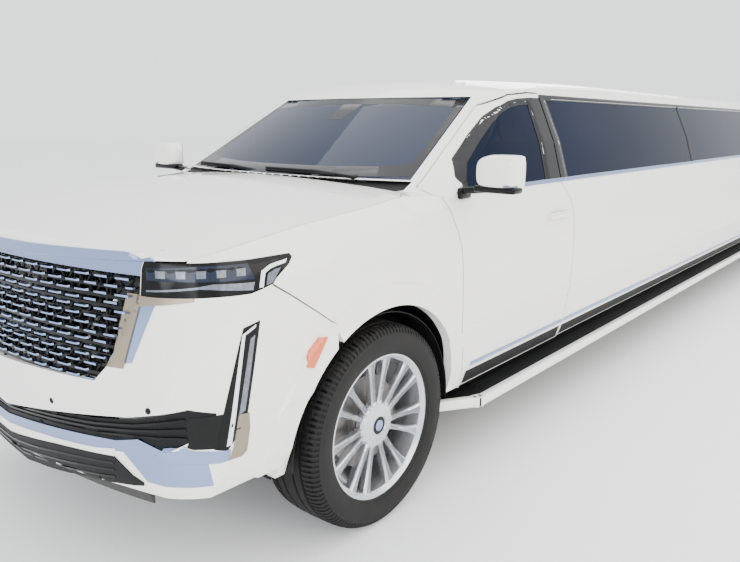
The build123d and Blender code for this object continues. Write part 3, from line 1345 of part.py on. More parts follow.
# Wheels, made about their own centre with the axle along X and the street side at +X
half_rim = RIM_WIDTH / 2
seat_x = half_rim - RIM_LIP_WIDTH
seat_radius = RIM_RADIUS - RIM_LIP
barrel_radius = seat_radius - RIM_WALL
rim_rows = (
    (half_rim, RIM_RADIUS),
    (seat_x, RIM_RADIUS),
    (seat_x, seat_radius),
    (-seat_x, seat_radius),
    (-seat_x, RIM_RADIUS),
    (-half_rim, RIM_RADIUS),
    (-half_rim, barrel_radius),
    (seat_x - 2 * RIM_LIP, barrel_radius),
    (half_rim, RIM_RADIUS - RIM_WALL),
)
spoke_rows = (
    (SPOKE_FACE - SPOKE_DISH, HUB_RADIUS - RIM_LIP),
    (SPOKE_FACE, seat_radius + RIM_LIP / 3),
    (seat_x - TYRE_GAP, seat_radius - TYRE_GAP),
    (SPOKE_FACE - SPOKE_DEPTH, RIM_RADIUS - 1.2 * RIM_LIP),
    (SPOKE_FACE - SPOKE_DISH - SPOKE_DEPTH, HUB_RADIUS - RIM_LIP),
)
pair_angles = [turn * 360 / SPOKE_PAIRS for turn in range(SPOKE_PAIRS)]
spoke_angles = [angle + side * SPOKE_SPREAD for angle in pair_angles for side in (1, -1)]


def ring(points):
    """Closed profile, as x and radius, turned about the axle."""
    with BuildPart() as solid:
        with BuildSketch(Plane.XY):
            with BuildLine():
                Polyline(*points, close=True)
            make_face()
        revolve(axis=Axis.X)
    return solid.part


with BuildPart() as spoke:
    with BuildSketch(Plane.XY):
        with BuildLine():
            Polyline(*spoke_rows, close=True)
        make_face()
    extrude(amount=SPOKE_WIDTH / 2, both=True)

hub_rows = (
    (-DISC_BACK, SPINDLE_RADIUS + SPINDLE_GAP),
    (-DISC_BACK, DISC_RADIUS),
    (DISC_THICKNESS - DISC_BACK, DISC_RADIUS),
    (DISC_THICKNESS - DISC_BACK, HAT_RADIUS),
    (DISC_THICKNESS, HAT_RADIUS),
    (DISC_THICKNESS, HUB_RADIUS),
    (SPOKE_FACE - SPOKE_DISH, HUB_RADIUS),
    (SPOKE_FACE - SPOKE_DISH, HUB_CAP_RADIUS),
    (SPOKE_FACE - SPOKE_DISH / 2, HUB_CAP_RADIUS - HUB_BOLT_RADIUS),
    (SPOKE_FACE - SPOKE_DISH / 2, 0),
    (SPINDLE_END, 0),
    (SPINDLE_END, SPINDLE_RADIUS + SPINDLE_GAP),
)
with BuildPart() as rim:
    add(ring(rim_rows))
    add(ring(hub_rows))
    for angle in spoke_angles:
        add(spoke.part.rotate(Axis.X, angle))
    with BuildSketch(Plane.YZ.offset(SPOKE_FACE - SPOKE_DISH)):
        with PolarLocations(HUB_BOLT_CIRCLE / 2, HUB_BOLT_COUNT):
            Circle(HUB_BOLT_RADIUS)
    extrude(amount=-SPOKE_DEPTH, mode=Mode.SUBTRACT)

bead_top = RIM_RADIUS + TYRE_GAP
tyre_half = TYRE_WIDTH / 2
tyre_side = (
    (seat_x, bead_top - RIM_LIP),
    (seat_x, bead_top),
    (tyre_half, bead_top + SIDEWALL_RISE),
    (TREAD_HALF + SHOULDER_STEP, TYRE_RADIUS - SHOULDER_DROP),
    (TREAD_HALF, TYRE_RADIUS),
)
tyre_inside = ((tyre_half - TYRE_WALL, bead_top + SIDEWALL_RISE), (seat_x - TYRE_WALL, bead_top - RIM_LIP))
inner_corner = (TREAD_HALF, TYRE_RADIUS - TREAD_WALL - TYRE_WALL)
half_tyre = (*tyre_side[::-1], *tyre_inside[::-1], inner_corner)
with BuildPart() as tyre:
    add(ring([*half_tyre[::-1], *[(-x, radius) for x, radius in half_tyre]]))

# Every piece by its name; left pieces get a right twin
os.makedirs("parts", exist_ok=True)
pieces = {
    "frame_rails": frame_rails.part,
    "floor_pan": floor_pan.part,
    "arch_liners": arch_liners.part,
    "engine_block": engine_block.part,
    "front_suspension": front_suspension.part,
    "rear_axle": rear_axle.part,
    "driveline": driveline.part,
    "fuel_tank": fuel_tank.part,
    "running_boards": running_boards.part,
    "body_side_left": body_side_left.part,
    "roof": roof.part,
    "cowl": cowl.part,
    "windscreen": windscreen.part,
    "side_glass": side_glass.part,
    "front_bumper": front_bumper.part,
    "grille": grille.part,
    "brightwork": brightwork.part,
    "lower_grille": lower_grille.part,
    "front_lamps": front_lamps.part,
    "rear_bumper": rear_bumper.part,
    "tail_lamps": tail_lamps.part,
    "dashboard": dashboard.part,
    "front_seats": front_seats.part,
    "partition": partition.part,
    "saloon_seats": saloon_seats.part,
    "bar_console": bar_console.part,
    "bonnet": bonnet.part,
    "tailgate": tailgate.part,
    "tailgate_glass": tailgate_glass.part,
    "wing_left": wing_left.part,
    "front_door_left": front_door_left.part,
    "front_door_glass_left": front_door_glass_left.part,
    "mirror_left": mirror_left.part,
    "rear_door_left": rear_door_left.part,
    "rear_door_glass_left": rear_door_glass_left.part,
    "knuckle_left": knuckle_left.part,
}
for end_name, axle_y in (("front", FRONT_AXLE_Y), ("rear", REAR_AXLE_Y)):
    for piece_name, piece in (("rim", rim.part), ("tyre", tyre.part)):
        with BuildPart() as placed:
            with Locations((WHEEL_X, axle_y, TYRE_RADIUS)):
                add(piece)
        pieces[f"{end_name}_{piece_name}_left"] = placed.part
for name in [name for name in pieces if name.endswith("_left")]:
    pieces[name.replace("_left", "_right")] = mirrored(pieces[name])
for name, piece in pieces.items():
    piece.label = name
    export_step(piece, f"parts/{name}.step")
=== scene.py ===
import json
import math

import bmesh
import bpy
from mathutils import Matrix, Vector
from mathutils.bvhtree import BVHTree


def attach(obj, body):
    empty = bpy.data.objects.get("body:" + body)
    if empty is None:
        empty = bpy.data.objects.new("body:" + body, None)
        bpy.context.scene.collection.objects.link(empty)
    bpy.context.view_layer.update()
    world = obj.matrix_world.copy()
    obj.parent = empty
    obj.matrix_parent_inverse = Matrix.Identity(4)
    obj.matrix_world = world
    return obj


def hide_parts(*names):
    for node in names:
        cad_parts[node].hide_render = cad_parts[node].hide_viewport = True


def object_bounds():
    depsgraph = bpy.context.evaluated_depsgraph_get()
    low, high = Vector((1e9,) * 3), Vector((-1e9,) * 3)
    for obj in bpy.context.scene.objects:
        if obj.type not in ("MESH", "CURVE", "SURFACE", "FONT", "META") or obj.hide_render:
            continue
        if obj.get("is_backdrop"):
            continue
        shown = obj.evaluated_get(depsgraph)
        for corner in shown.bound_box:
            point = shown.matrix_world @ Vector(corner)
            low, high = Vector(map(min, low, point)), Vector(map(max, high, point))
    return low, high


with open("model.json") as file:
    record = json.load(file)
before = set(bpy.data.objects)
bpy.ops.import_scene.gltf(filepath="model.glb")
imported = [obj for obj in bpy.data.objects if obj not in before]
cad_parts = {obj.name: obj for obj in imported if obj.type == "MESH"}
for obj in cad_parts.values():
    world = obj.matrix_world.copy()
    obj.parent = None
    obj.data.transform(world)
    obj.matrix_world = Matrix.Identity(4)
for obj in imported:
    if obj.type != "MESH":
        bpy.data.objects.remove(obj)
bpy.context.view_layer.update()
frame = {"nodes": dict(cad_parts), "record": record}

# The vehicle faces -Y, its left side is +X, and the ground is at Z = 0. Lengths are in metres.
FRONT_AXLE = -4.2205
REAR_AXLE = 3.9305
TRACK_HALF = 0.87
TYRE_RADIUS = 0.417
HUB_POINT = (0, FRONT_AXLE, TYRE_RADIUS)
MM = 0.001
WELD = 0.04 * MM
CUT_LIMIT = 0.01 * MM
NODES = frame["nodes"]


def aft(distance):
    """Place on Y at a distance behind the front axle."""
    return FRONT_AXLE + distance


def linear(code):
    """Linear colour of an sRGB hex value."""
    channels = [int(code[i:i + 2], 16) / 255 for i in (1, 3, 5)]
    return [c / 12.92 if c <= 0.04045 else ((c + 0.055) / 1.055) ** 2.4 for c in channels] + [1.0]


def add_node(tree, kind, inputs=None, **settings):
    """Adds a node; an input is a value, or another node's output socket to link."""
    added = tree.nodes.new(kind)
    for key, value in settings.items():
        setattr(added, key, value)
    for key, value in (inputs or {}).items():
        if isinstance(value, bpy.types.NodeSocket):
            tree.links.new(value, added.inputs[key])
        else:
            added.inputs[key].default_value = value
    return added


def surface(name, slot, colour, roughness, **extra):
    """Material with one principled shader; its slot argument is not used."""
    made = bpy.data.materials.new(name)
    made.use_nodes = True
    shader = made.node_tree.nodes["Principled BSDF"]
    shader.inputs["Base Color"].default_value = linear(colour)
    shader.inputs["Roughness"].default_value = roughness
    for key, value in extra.items():
        shader.inputs[key.replace("_", " ")].default_value = value
    add_node(made.node_tree, "ShaderNodeTexCoord", name="place")
    return made


def pattern(material, kind, size_mm, **inputs):
    """Texture on the piece's own coordinates, at a size in millimetres."""
    tree = material.node_tree
    place = add_node(tree, "ShaderNodeMapping", {"Vector": tree.nodes["place"].outputs["Object"]})
    return add_node(
        tree, kind, {"Vector": place.outputs["Vector"], "Scale": 1 / (size_mm * MM), **inputs})


def grain(material, size_mm, height_mm, strength=1.0, kind="noise"):
    """Fine relief of a given size, as bump."""
    if kind == "noise":
        relief = pattern(material, "ShaderNodeTexNoise", size_mm, Detail=2.0).outputs["Fac"]
    else:
        relief = pattern(material, "ShaderNodeTexVoronoi", size_mm).outputs["Distance"]
    tree = material.node_tree
    bump = add_node(
        tree, "ShaderNodeBump", {"Strength": strength, "Distance": height_mm * MM, "Height": relief})
    tree.links.new(bump.outputs["Normal"], tree.nodes["Principled BSDF"].inputs["Normal"])


def mottle(material, size_mm, low, high, socket="Base Color"):
    """Slow change of colour or roughness over the surface."""
    tree = material.node_tree
    share = pattern(material, "ShaderNodeTexNoise", size_mm, Detail=3.0).outputs["Fac"]
    if socket == "Base Color":
        mix = add_node(tree, "ShaderNodeMix", {"Factor": share}, data_type="RGBA")
        mix.inputs["A"].default_value = linear(low)
        mix.inputs["B"].default_value = linear(high)
    else:
        mix = add_node(tree, "ShaderNodeMapRange", {"Value": share, "To Min": low, "To Max": high})
    tree.links.new(mix.outputs["Result"], tree.nodes["Principled BSDF"].inputs[socket])


# White enamel under clear lacquer: a warm white with a wet gloss and a trace of orange peel.
white_enamel = surface(
    "white_enamel", "white_paint", "#F2F0EA", 0.42, Coat_Weight=1.0, Coat_Roughness=0.04)
mottle(white_enamel, 600, "#F1EFE8", "#F5F3EE")
grain(white_enamel, 9, 0.012, strength=0.25)

# Pane of safety glass with dark film: nearly black inside; the blue-grey in its colour is a painted sky
# sheen, in slow patches.
film_glass_painted_sheen = surface(
    "filmed_safety_glass_painted_sheen", "dark_glass", "#080E1B", 0.04, IOR=1.52, Specular_IOR_Level=0.03)
mottle(film_glass_painted_sheen, 900, "#070C16", "#0F1A33")

# Windscreen: laminated glass, lighter than the side panes, so the cabin shows dimly.
laminated_glass = surface(
    "laminated_glass", "dark_glass", "#12203C", 0.02, IOR=1.52, Transmission_Weight=0.3,
    Specular_IOR_Level=0.05)
mottle(laminated_glass, 700, "#0F1A30", "#182A4A")

# Piano-black ABS of pillars and lamp housings: deep gloss.
piano_black = surface("piano_black_abs", "gloss_black", "#060607", 0.14, Specular_IOR_Level=0.2)
mottle(piano_black, 60, 0.1, 0.18, "Roughness")

# Grained black polypropylene of liners, cowl and valances: dull, with a leather-like moulded grain.
grained_black = surface(
    "grained_black_polypropylene", "textured_black", "#060607", 0.6, Specular_IOR_Level=0.25)
mottle(grained_black, 90, "#040405", "#09090A")
grain(grained_black, 3.5, 0.25, strength=0.5, kind="cells")

# Chromed ABS: mirror bright; its slightly blue colour is a painted sky reflection.
chrome_painted_sky_blue = surface("chromed_abs", "bright_trim", "#8C9DC2", 0.08, Metallic=1.0)
mottle(chrome_painted_sky_blue, 120, 0.04, 0.09, "Roughness")

# Satin chrome: the same plating over a matt tool, warm and soft.
satin_chrome = surface("satin_chromed_abs", "bright_trim", "#978C7B", 0.3, Metallic=1.0)
mottle(satin_chrome, 80, 0.26, 0.34, "Roughness")

# Diamond-turned aluminium of the wheels: bright silver with faint turning marks round the axle.
turned_alloy = surface(
    "machined_cast_aluminium", "machined_alloy", "#C8CACD", 0.24, Metallic=0.85, Coat_Weight=0.5,
    Coat_Roughness=0.1)
mottle(turned_alloy, 30, 0.2, 0.3, "Roughness")
grain(turned_alloy, 1.4, 0.02, strength=0.3)

# Rough cast parts: engine, brake, axle.
cast_iron = surface("cast_iron", "bare_iron", "#55534F", 0.6, Metallic=0.8)
mottle(cast_iron, 40, "#4A4845", "#66605A")
grain(cast_iron, 2.5, 0.3, strength=0.6)
cast_alloy = surface("sand_cast_aluminium", "cast_alloy", "#8E9092", 0.5, Metallic=0.9)
mottle(cast_alloy, 60, "#828487", "#9B9C9D")
grain(cast_alloy, 2.0, 0.25, strength=0.5)

# Black epoxy-coated chassis steel with a little road dust.
chassis_steel = surface("epoxy_coated_steel", "frame_black", "#1A1A1B", 0.5)
mottle(chassis_steel, 150, "#151516", "#2A2826")
grain(chassis_steel, 4, 0.1, strength=0.4)

# Tyre rubber: near black, dull, dusty in patches.
tyre_rubber = surface("tyre_rubber", "tyre_rubber", "#111010", 0.72, Specular_IOR_Level=0.3)
mottle(tyre_rubber, 45, "#0E0D0D", "#1A1817")
grain(tyre_rubber, 1.2, 0.1, strength=0.4)

# EPDM weatherstrip: soft black.
weatherstrip = surface("epdm_rubber", "textured_black", "#0E0E0F", 0.55)
mottle(weatherstrip, 50, "#0B0B0C", "#141415")

# Polyethylene tank and cabin trim.
tank_plastic = surface("blow_moulded_polyethylene", "tank_plastic", "#141414", 0.5)
mottle(tank_plastic, 120, "#111111", "#1B1B1B")
cabin_plastic = surface("grained_cabin_plastic", "cabin_trim", "#2A2928", 0.6)
mottle(cabin_plastic, 120, "#252423", "#302F2D")
grain(cabin_plastic, 3, 0.2, strength=0.4, kind="cells")

# Seat leather: dark, with a pebble grain and a soft sheen.
seat_leather = surface("seat_leather", "trim_leather", "#2B2725", 0.45, Specular_IOR_Level=0.4)
mottle(seat_leather, 80, "#27231F", "#332E2A")
grain(seat_leather, 4, 0.35, strength=0.5, kind="cells")

# Moulded lenses: red and amber acrylic, and the frosted light guide.
red_acrylic = surface("red_acrylic", "red_lens", "#7E0A10", 0.12, Coat_Weight=1.0, Coat_Roughness=0.03)
mottle(red_acrylic, 40, "#6A080D", "#8E1017")
amber_acrylic = surface(
    "amber_acrylic", "lamp_lens", "#D9501A", 0.15, Coat_Weight=1.0, Coat_Roughness=0.03)
mottle(amber_acrylic, 12, "#CC4716", "#E4601F")

# Machined cast iron of the brake discs: grey, with a faint turned face.
turned_iron = surface("turned_cast_iron", "bare_iron", "#8B8885", 0.38, Metallic=0.9)
mottle(turned_iron, 50, "#7E7B78", "#989592")

# Headlamp glazing: polycarbonate over a dark blue-black reflector.
lamp_glass = surface(
    "polycarbonate_over_dark_reflector", "lamp_lens", "#0B1322", 0.1, Specular_IOR_Level=0.35)
mottle(lamp_glass, 22, "#080E1A", "#14213A")

# Vacuum-metallised reflector: soft silver, streaked like the lens in front of it.
lamp_silver = surface(
    "metallised_reflector", "lamp_lens", "#6A6E78", 0.25, Metallic=0.8, Coat_Weight=0.2,
    Coat_Roughness=0.03)
mottle(lamp_silver, 14, "#4A4E59", "#8C9099")

# Frosted light guide of the day lamps: opal white under clear plastic.
frosted_guide = surface(
    "frosted_light_guide", "lamp_lens", "#E4E6E8", 0.3, Coat_Weight=1.0, Coat_Roughness=0.03)
mottle(frosted_guide, 25, "#DADDE0", "#EEF0F1")

CAD_FINISH = {
    "white_paint": white_enamel,
    "gloss_black": piano_black,
    "textured_black": grained_black,
    "bright_trim": chrome_painted_sky_blue,
    "dark_glass": film_glass_painted_sheen,
    "lamp_lens": piano_black,
    "red_lens": red_acrylic,
    "frame_black": chassis_steel,
    "bare_iron": cast_iron,
    "cast_alloy": cast_alloy,
    "machined_alloy": turned_alloy,
    "tyre_rubber": tyre_rubber,
    "trim_leather": seat_leather,
    "cabin_trim": cabin_plastic,
    "tank_plastic": tank_plastic,
}


def smoothing(limit):
    """Modifier group that joins a solid's loose triangles and shades it smooth up to an angle."""
    group = bpy.data.node_groups.new("joined_and_smoothed", "GeometryNodeTree")
    group.interface.new_socket("Geometry", in_out="INPUT", socket_type="NodeSocketGeometry")
    group.interface.new_socket("Geometry", in_out="OUTPUT", socket_type="NodeSocketGeometry")
    start = add_node(group, "NodeGroupInput").outputs[0]
    joined = add_node(group, "GeometryNodeMergeByDistance", {"Geometry": start, "Distance": 0.05 * MM})
    angle = add_node(group, "GeometryNodeInputMeshEdgeAngle").outputs["Unsigned Angle"]
    steep = add_node(
        group, "FunctionNodeCompare", {0: angle, 1: limit}, data_type="FLOAT", operation="GREATER_THAN")
    faces = add_node(
        group, "GeometryNodeSetShadeSmooth", {"Geometry": joined.outputs[0], "Shade Smooth": True},
        domain="FACE")
    creased = {"Geometry": faces.outputs[0], "Selection": steep.outputs[0], "Shade Smooth": False}
    edges = add_node(group, "GeometryNodeSetShadeSmooth", creased, domain="EDGE")
    add_node(group, "NodeGroupOutput", {0: edges.outputs[0]})
    return group


SMOOTHED = smoothing(math.radians(32))
for subpart in frame["record"]["subparts"]:
    cad = NODES[subpart["node"]]
    cad.data.materials.clear()
    cad.data.materials.append(CAD_FINISH[subpart["material_slot"]])
    cad.modifiers.new("smoothed", "NODES").node_group = SMOOTHED
NODES["windscreen"].data.materials[0] = laminated_glass


def finish_piece(name, form, material, body, replaces=(), sharp=30):
    """Closes a shaped form and makes it a piece that moves with a body."""
    bmesh.ops.remove_doubles(form, verts=form.verts, dist=WELD)
    bmesh.ops.recalc_face_normals(form, faces=form.faces)
    mesh = bpy.data.meshes.new(name)
    form.to_mesh(mesh)
    form.free()
    mesh.shade_smooth()
    mesh.set_sharp_from_angle(angle=math.radians(sharp))
    mesh.materials.append(material)
    piece = bpy.data.objects.new(name, mesh)
    bpy.context.scene.collection.objects.link(piece)
    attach(piece, body)
    if replaces:
        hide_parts(*replaces)
    return piece


def round_off(piece, name):
    """Subdivides a piece once, the same in view and render."""
    rounding = piece.modifiers.new(name, "SUBSURF")
    rounding.levels = rounding.render_levels = 1


def finish_pair(name, form, material, body="shell", replaces="", sharp=30):
    """Left piece and its mirror image on the right, each on its own side's body."""
    twin = form.copy()
    bmesh.ops.scale(twin, vec=(-1, 1, 1), verts=twin.verts)
    pieces = []
    for side, shape in (("left", form), ("right", twin)):
        carrier = body if body in ("shell", "bonnet", "tailgate") else f"{body}_{side}"
        nodes = (f"{replaces}_{side}",) if replaces else ()
        pieces.append(finish_piece(f"{name}_{side}", shape, material, carrier, nodes, sharp))
    return pieces


def skin_tree(*names):
    """Outer skin of some CAD nodes, to lay trim on."""
    form = bmesh.new()
    for name in names:
        form.from_mesh(NODES[name].data)
    tree = BVHTree.FromBMesh(form)
    form.free()
    return tree


FROM_LEFT = Vector((-1, 0, 0))
FROM_FRONT = Vector((0, 1, 0))
FROM_REAR = Vector((0, -1, 0))
FROM_ABOVE = Vector((0, 0, -1))
FROM_CORNER = Vector((-0.8, 0.6, 0)).normalized()
LOOK_BACK = 8.0
GAP_PROBE = 0.009
GAP_DEPTH = 0.003


def plane_axes(direction):
    """The two axes square to a direction."""
    side = direction.cross(
        Vector((0, 0, 1)) if abs(direction.z) < 0.5 else Vector((0, 1, 0))).normalized()
    return side, side.cross(direction)


def skin_depth(tree, point, direction):
    """How far along a direction the skin lies, bridging panel gaps."""
    start = point - direction * (point.dot(direction) + LOOK_BACK)
    probes = []
    side, up = plane_axes(direction)
    for shift in (Vector(), side * GAP_PROBE, -side * GAP_PROBE, up * GAP_PROBE, -up * GAP_PROBE):
        reach = tree.ray_cast(start + shift, direction)[3]
        probes.append(reach - LOOK_BACK if reach is not None else None)
    centre = probes[0]
    means = [(a + b) / 2 for a, b in (probes[1:3], probes[3:5]) if a is not None and b is not None]
    if centre is None or (means and centre > min(means) + GAP_DEPTH):
        known = means or [p for p in probes if p is not None]
        return min(known) if known else None
    return centre


def round_edges(form, edges, offset, segments):
    """Bevels edges; returns what the bevel made."""
    return bmesh.ops.bevel(
        form, geom=edges, offset=offset, segments=segments, profile=0.5, affect="EDGES", material=-1)


def sheet(outline, direction, tree, spacing, lift, depth=0.004, rim=0.0006, form=None, swing=0.3):
    """Closed sheet laid on the skin; the outline is x, distance behind the front axle, and z."""
    form = form or bmesh.new()
    flat = []
    for x, back, z in outline:
        point = Vector((x, aft(back), z))
        flat.append(form.verts.new(point - direction * point.dot(direction)))
    face = form.faces.new(flat)
    side, up = plane_axes(direction)
    parts = [face] + list(face.edges) + flat
    for axis, step in ((side, spacing[0]), (up, spacing[1])):
        low_edge = min(v.co.dot(axis) for v in flat)
        high_edge = max(v.co.dot(axis) for v in flat)
        count = int((high_edge - low_edge) / step)
        for number in range(1, count + 1):
            cut = low_edge + (high_edge - low_edge) * number / (count + 1)
            parts = bmesh.ops.bisect_plane(
                form, geom=parts, dist=CUT_LIMIT, plane_co=axis * cut, plane_no=axis)["geom"]
    laid = [part for part in parts if isinstance(part, bmesh.types.BMVert)]
    faces = [part for part in parts if isinstance(part, bmesh.types.BMFace)]
    depths = {vert: skin_depth(tree, vert.co, direction) for vert in laid}
    found = sorted(d for d in depths.values() if d is not None)
    middle = found[len(found) // 2]
    sound = [vert for vert in laid if depths[vert] is not None and abs(depths[vert] - middle) < swing]
    places = {vert: vert.co.copy() for vert in sound}
    for vert in laid:
        nearest = vert if vert in places else min(
            sound, key=lambda other: (places[other] - vert.co).length)
        vert.co += direction * (depths[nearest] + depth)
    raised = bmesh.ops.extrude_face_region(form, geom=faces)["geom"]
    top = {part for part in raised if isinstance(part, bmesh.types.BMFace)}
    raised_verts = [part for part in raised if isinstance(part, bmesh.types.BMVert)]
    bmesh.ops.translate(form, vec=-direction * (depth + lift), verts=raised_verts)
    if rim:
        top_edges = {edge for face in top for edge in face.edges}
        rims = [edge for edge in top_edges if any(other not in top for other in edge.link_faces)]
        round_edges(form, rims, rim, 1)
    return form


def rod_between(form, start, end, radius, sides=12):
    """Round bar between two points given as x, distance behind the front axle, and z."""
    first = Vector((start[0], aft(start[1]), start[2]))
    last = Vector((end[0], aft(end[1]), end[2]))
    turn = (last - first).to_track_quat("Z", "Y").to_matrix().to_4x4()
    middle = Matrix.Translation((first + last) / 2) @ turn
    made = bmesh.ops.create_cone(
        form, cap_ends=True, segments=sides, radius1=radius, radius2=radius,
        depth=(last - first).length, matrix=middle)
    edges = {edge for vert in made["verts"] for edge in vert.link_edges}
    caps = [edge for edge in edges if any(len(face.verts) > 4 for face in edge.link_faces)]
    round_edges(form, caps, radius * 0.3, 2)
    return form


def rounded_block(form, size, centre, offset, segments=3, turn=Matrix()):
    """Block with rounded edges; the centre is x, distance behind the front axle, and z."""
    place = Matrix.Translation(
        (centre[0], aft(centre[1]), centre[2])) @ turn @ Matrix.Diagonal((*size, 1))
    made = bmesh.ops.create_cube(form, size=1, matrix=place)
    edges = list({edge for vert in made["verts"] for edge in vert.link_edges})
    round_edges(form, edges, offset, segments)
    return form


def spun_profile(form, points, steps):
    """Turns a closed profile of sideways place and radius about the front axle line."""
    ring = [form.verts.new((TRACK_HALF + x, FRONT_AXLE, TYRE_RADIUS + radius)) for x, radius in points]
    edges = [form.edges.new((ring[n - 1], ring[n])) for n in range(len(ring))]
    bmesh.ops.spin(
        form, geom=ring + edges, cent=HUB_POINT, axis=(1, 0, 0),
        angle=2 * math.pi, steps=steps, use_merge=True)
    return form


def finish_four(name, form, material, node=""):
    """Copies a wheel part to the four corners."""
    for end, shift in (("front", 0.0), ("rear", REAR_AXLE - FRONT_AXLE)):
        copy = form.copy()
        bmesh.ops.translate(copy, vec=(0, shift, 0), verts=copy.verts)
        finish_pair(f"{end}_{name}", copy, material, f"{end}_wheel", f"{end}_{node}" if node else "")
    form.free()


# Wheels: a barrel with a bright lip, fourteen flared spokes in seven pairs, a plain hub and a cap.
RIM_STEPS = 96
BARREL = (
    (0.117, 0.297), (
        0.124, 0.2945), (0.125, 0.289), (0.12, 0.283), (0.108, 0.273), (0.04, 0.262), (-0.09, 0.262),
    (-0.118, 0.274), (-0.125, 0.286), (
        -0.124, 0.2945), (-0.117, 0.297), (-0.112, 0.291), (-0.109, 0.2805),
    (-0.08, 0.279), (-0.05, 0.271), (0.05, 0.271), (0.08, 0.279), (0.109, 0.2805), (0.112, 0.291))
HUB = (
    (0.06, 0.036), (0.06, 0.092), (
        0.084, 0.094), (0.098, 0.086), (0.104, 0.06), (0.106, 0.046), (0.1075, 0.04),
    (0.1045, 0.0385), (0.1045, 0.0365))
CAP_RING = (
    (0.07, 0.001), (0.07, 0.0362), (0.1035, 0.0362), (0.1045, 0.0345), (0.1045, 0.0245), (0.1045, 0.001))
CAP_DOME = (
    (0.1, 0.0005), (0.1, 0.0225), (0.1065, 0.0225), (0.1078, 0.0205), (0.1085, 0.012), (0.1087, 0.0005))
BRAKE_DISC = (
    (-0.004, 0.08), (-0.004, 0.188), (-0.001, 0.19), (0.025, 0.19), (0.028, 0.188), (0.028, 0.102),
    (0.052, 0.095), (0.056, 0.086), (0.056, 0.034), (0.048, 0.034), (0.048, 0.08))
SPOKE_WIDTHS = ((0.08, 1.0), (0.115, 0.76), (0.18, 0.8), (0.235, 0.98), (0.266, 1.35), (0.283, 1.75))
SPOKE_ROOT = 0.034
SPOKE_FACE = 0.098
SPOKE_CURVE = 0.016 / 0.0412
SPOKE_BACK = 0.04
SPOKE_START = SPOKE_WIDTHS[0][0]
SPOKE_PAIRS = 7
PAIR_ANGLE = math.radians(10.2)
SPOKE_SECTION = (
    (SPOKE_FACE, -0.3), (SPOKE_FACE, 0.3), (SPOKE_FACE - 0.01, 0.5), (SPOKE_FACE - SPOKE_BACK, 0.34),
    (SPOKE_FACE - SPOKE_BACK, -0.34), (SPOKE_FACE - 0.01, -0.5))


def wheel_spokes(form):
    """Seven pairs of spokes that widen towards the lip."""
    for turn in (-PAIR_ANGLE, PAIR_ANGLE):
        radius, wide = SPOKE_WIDTHS[0]
        verts = [
            form.verts.new((TRACK_HALF + x, FRONT_AXLE + y * SPOKE_ROOT, TYRE_RADIUS + radius))
            for x, y in SPOKE_SECTION]
        face = form.faces.new(verts)
        spoke = set(verts)
        for next_radius, next_wide in SPOKE_WIDTHS[1:]:
            grown = bmesh.ops.extrude_face_region(form, geom=[face])["geom"]
            verts = [part for part in grown if isinstance(part, bmesh.types.BMVert)]
            face = [part for part in grown if isinstance(part, bmesh.types.BMFace)][0]
            rise = SPOKE_CURVE * ((next_radius - SPOKE_START) ** 2 - (radius - SPOKE_START) ** 2)
            bmesh.ops.translate(form, vec=(rise, 0, next_radius - radius), verts=verts)
            bmesh.ops.scale(
                form, vec=(1, next_wide / wide, 1), verts=verts,
                space=Matrix.Translation((0, -FRONT_AXLE, 0)))
            radius, wide = next_radius, next_wide
            spoke.update(verts)
        spoke_edges = {edge for vert in spoke for edge in vert.link_edges}
        spoke_faces = {face for vert in spoke for face in vert.link_faces}
        parts = [*spoke, *spoke_edges, *spoke_faces]
        bmesh.ops.rotate(form, cent=HUB_POINT, matrix=Matrix.Rotation(turn, 3, "X"), verts=list(spoke))
        bmesh.ops.spin(
            form, geom=parts, cent=HUB_POINT, axis=(1, 0, 0),
            angle=2 * math.pi * (1 - 1 / SPOKE_PAIRS), steps=SPOKE_PAIRS - 1, use_duplicate=True)
    return form


rim_form = bmesh.new()
wheel_spokes(rim_form)
spoke_ridges = [edge for edge in rim_form.edges if edge.calc_length() > 0.012]
round_edges(rim_form, spoke_ridges, 0.0022, 1)
spun_profile(rim_form, BARREL, RIM_STEPS)
spun_profile(rim_form, HUB, RIM_STEPS)
finish_four("alloy_wheel", rim_form, turned_alloy, "rim")

for name, profile, steps, material in (
        ("cap_ring", CAP_RING, 48, piano_black), ("cap_centre", CAP_DOME, 40, chrome_painted_sky_blue)):
    finish_four(name, spun_profile(bmesh.new(), profile, steps), material)

# Brake disc with its hat, behind the spokes.
finish_four("brake_disc", spun_profile(bmesh.new(), BRAKE_DISC, RIM_STEPS), turned_iron)

# Tyres: ribbed shoulders, four straight grooves and a plain wall with two thin rings.
TYRE_STEPS = 240
HALF_TREAD = (
    (0.112, 0.283), (0.127, 0.299), (0.13, 0.303), (0.131, 0.3075), (0.133, 0.308), (0.1345, 0.3125),
    (0.1395, 0.33), (0.1414, 0.348), (0.141, 0.364), (0.1385, 0.376), (0.1392, 0.378), (0.1375, 0.383),
    (0.134, 0.393), (0.1265, 0.403), (0.113, 0.41), (0.096, 0.4135), (0.078, 0.415), (0.0765, 0.408),
    (0.0685, 0.408), (0.067, 0.4156), (0.036, 0.4166), (0.0345, 0.409), (0.0265, 0.409), (0.025, 0.4168))
SIPE_WIDTHS = (0.08, 0.1375)
SIPE_FOOT = 0.386
tyre_form = bmesh.new()
inner_wall = (
    (-0.104, 0.3), (-0.128, 0.345), (-0.112, 0.395), (0.112, 0.395), (0.128, 0.345), (0.104, 0.3))
other_half = tuple((-x, radius) for x, radius in reversed(HALF_TREAD))
spun_profile(tyre_form, HALF_TREAD + other_half + inner_wall, TYRE_STEPS)
bmesh.ops.recalc_face_normals(tyre_form, faces=tyre_form.faces)
sipes = []
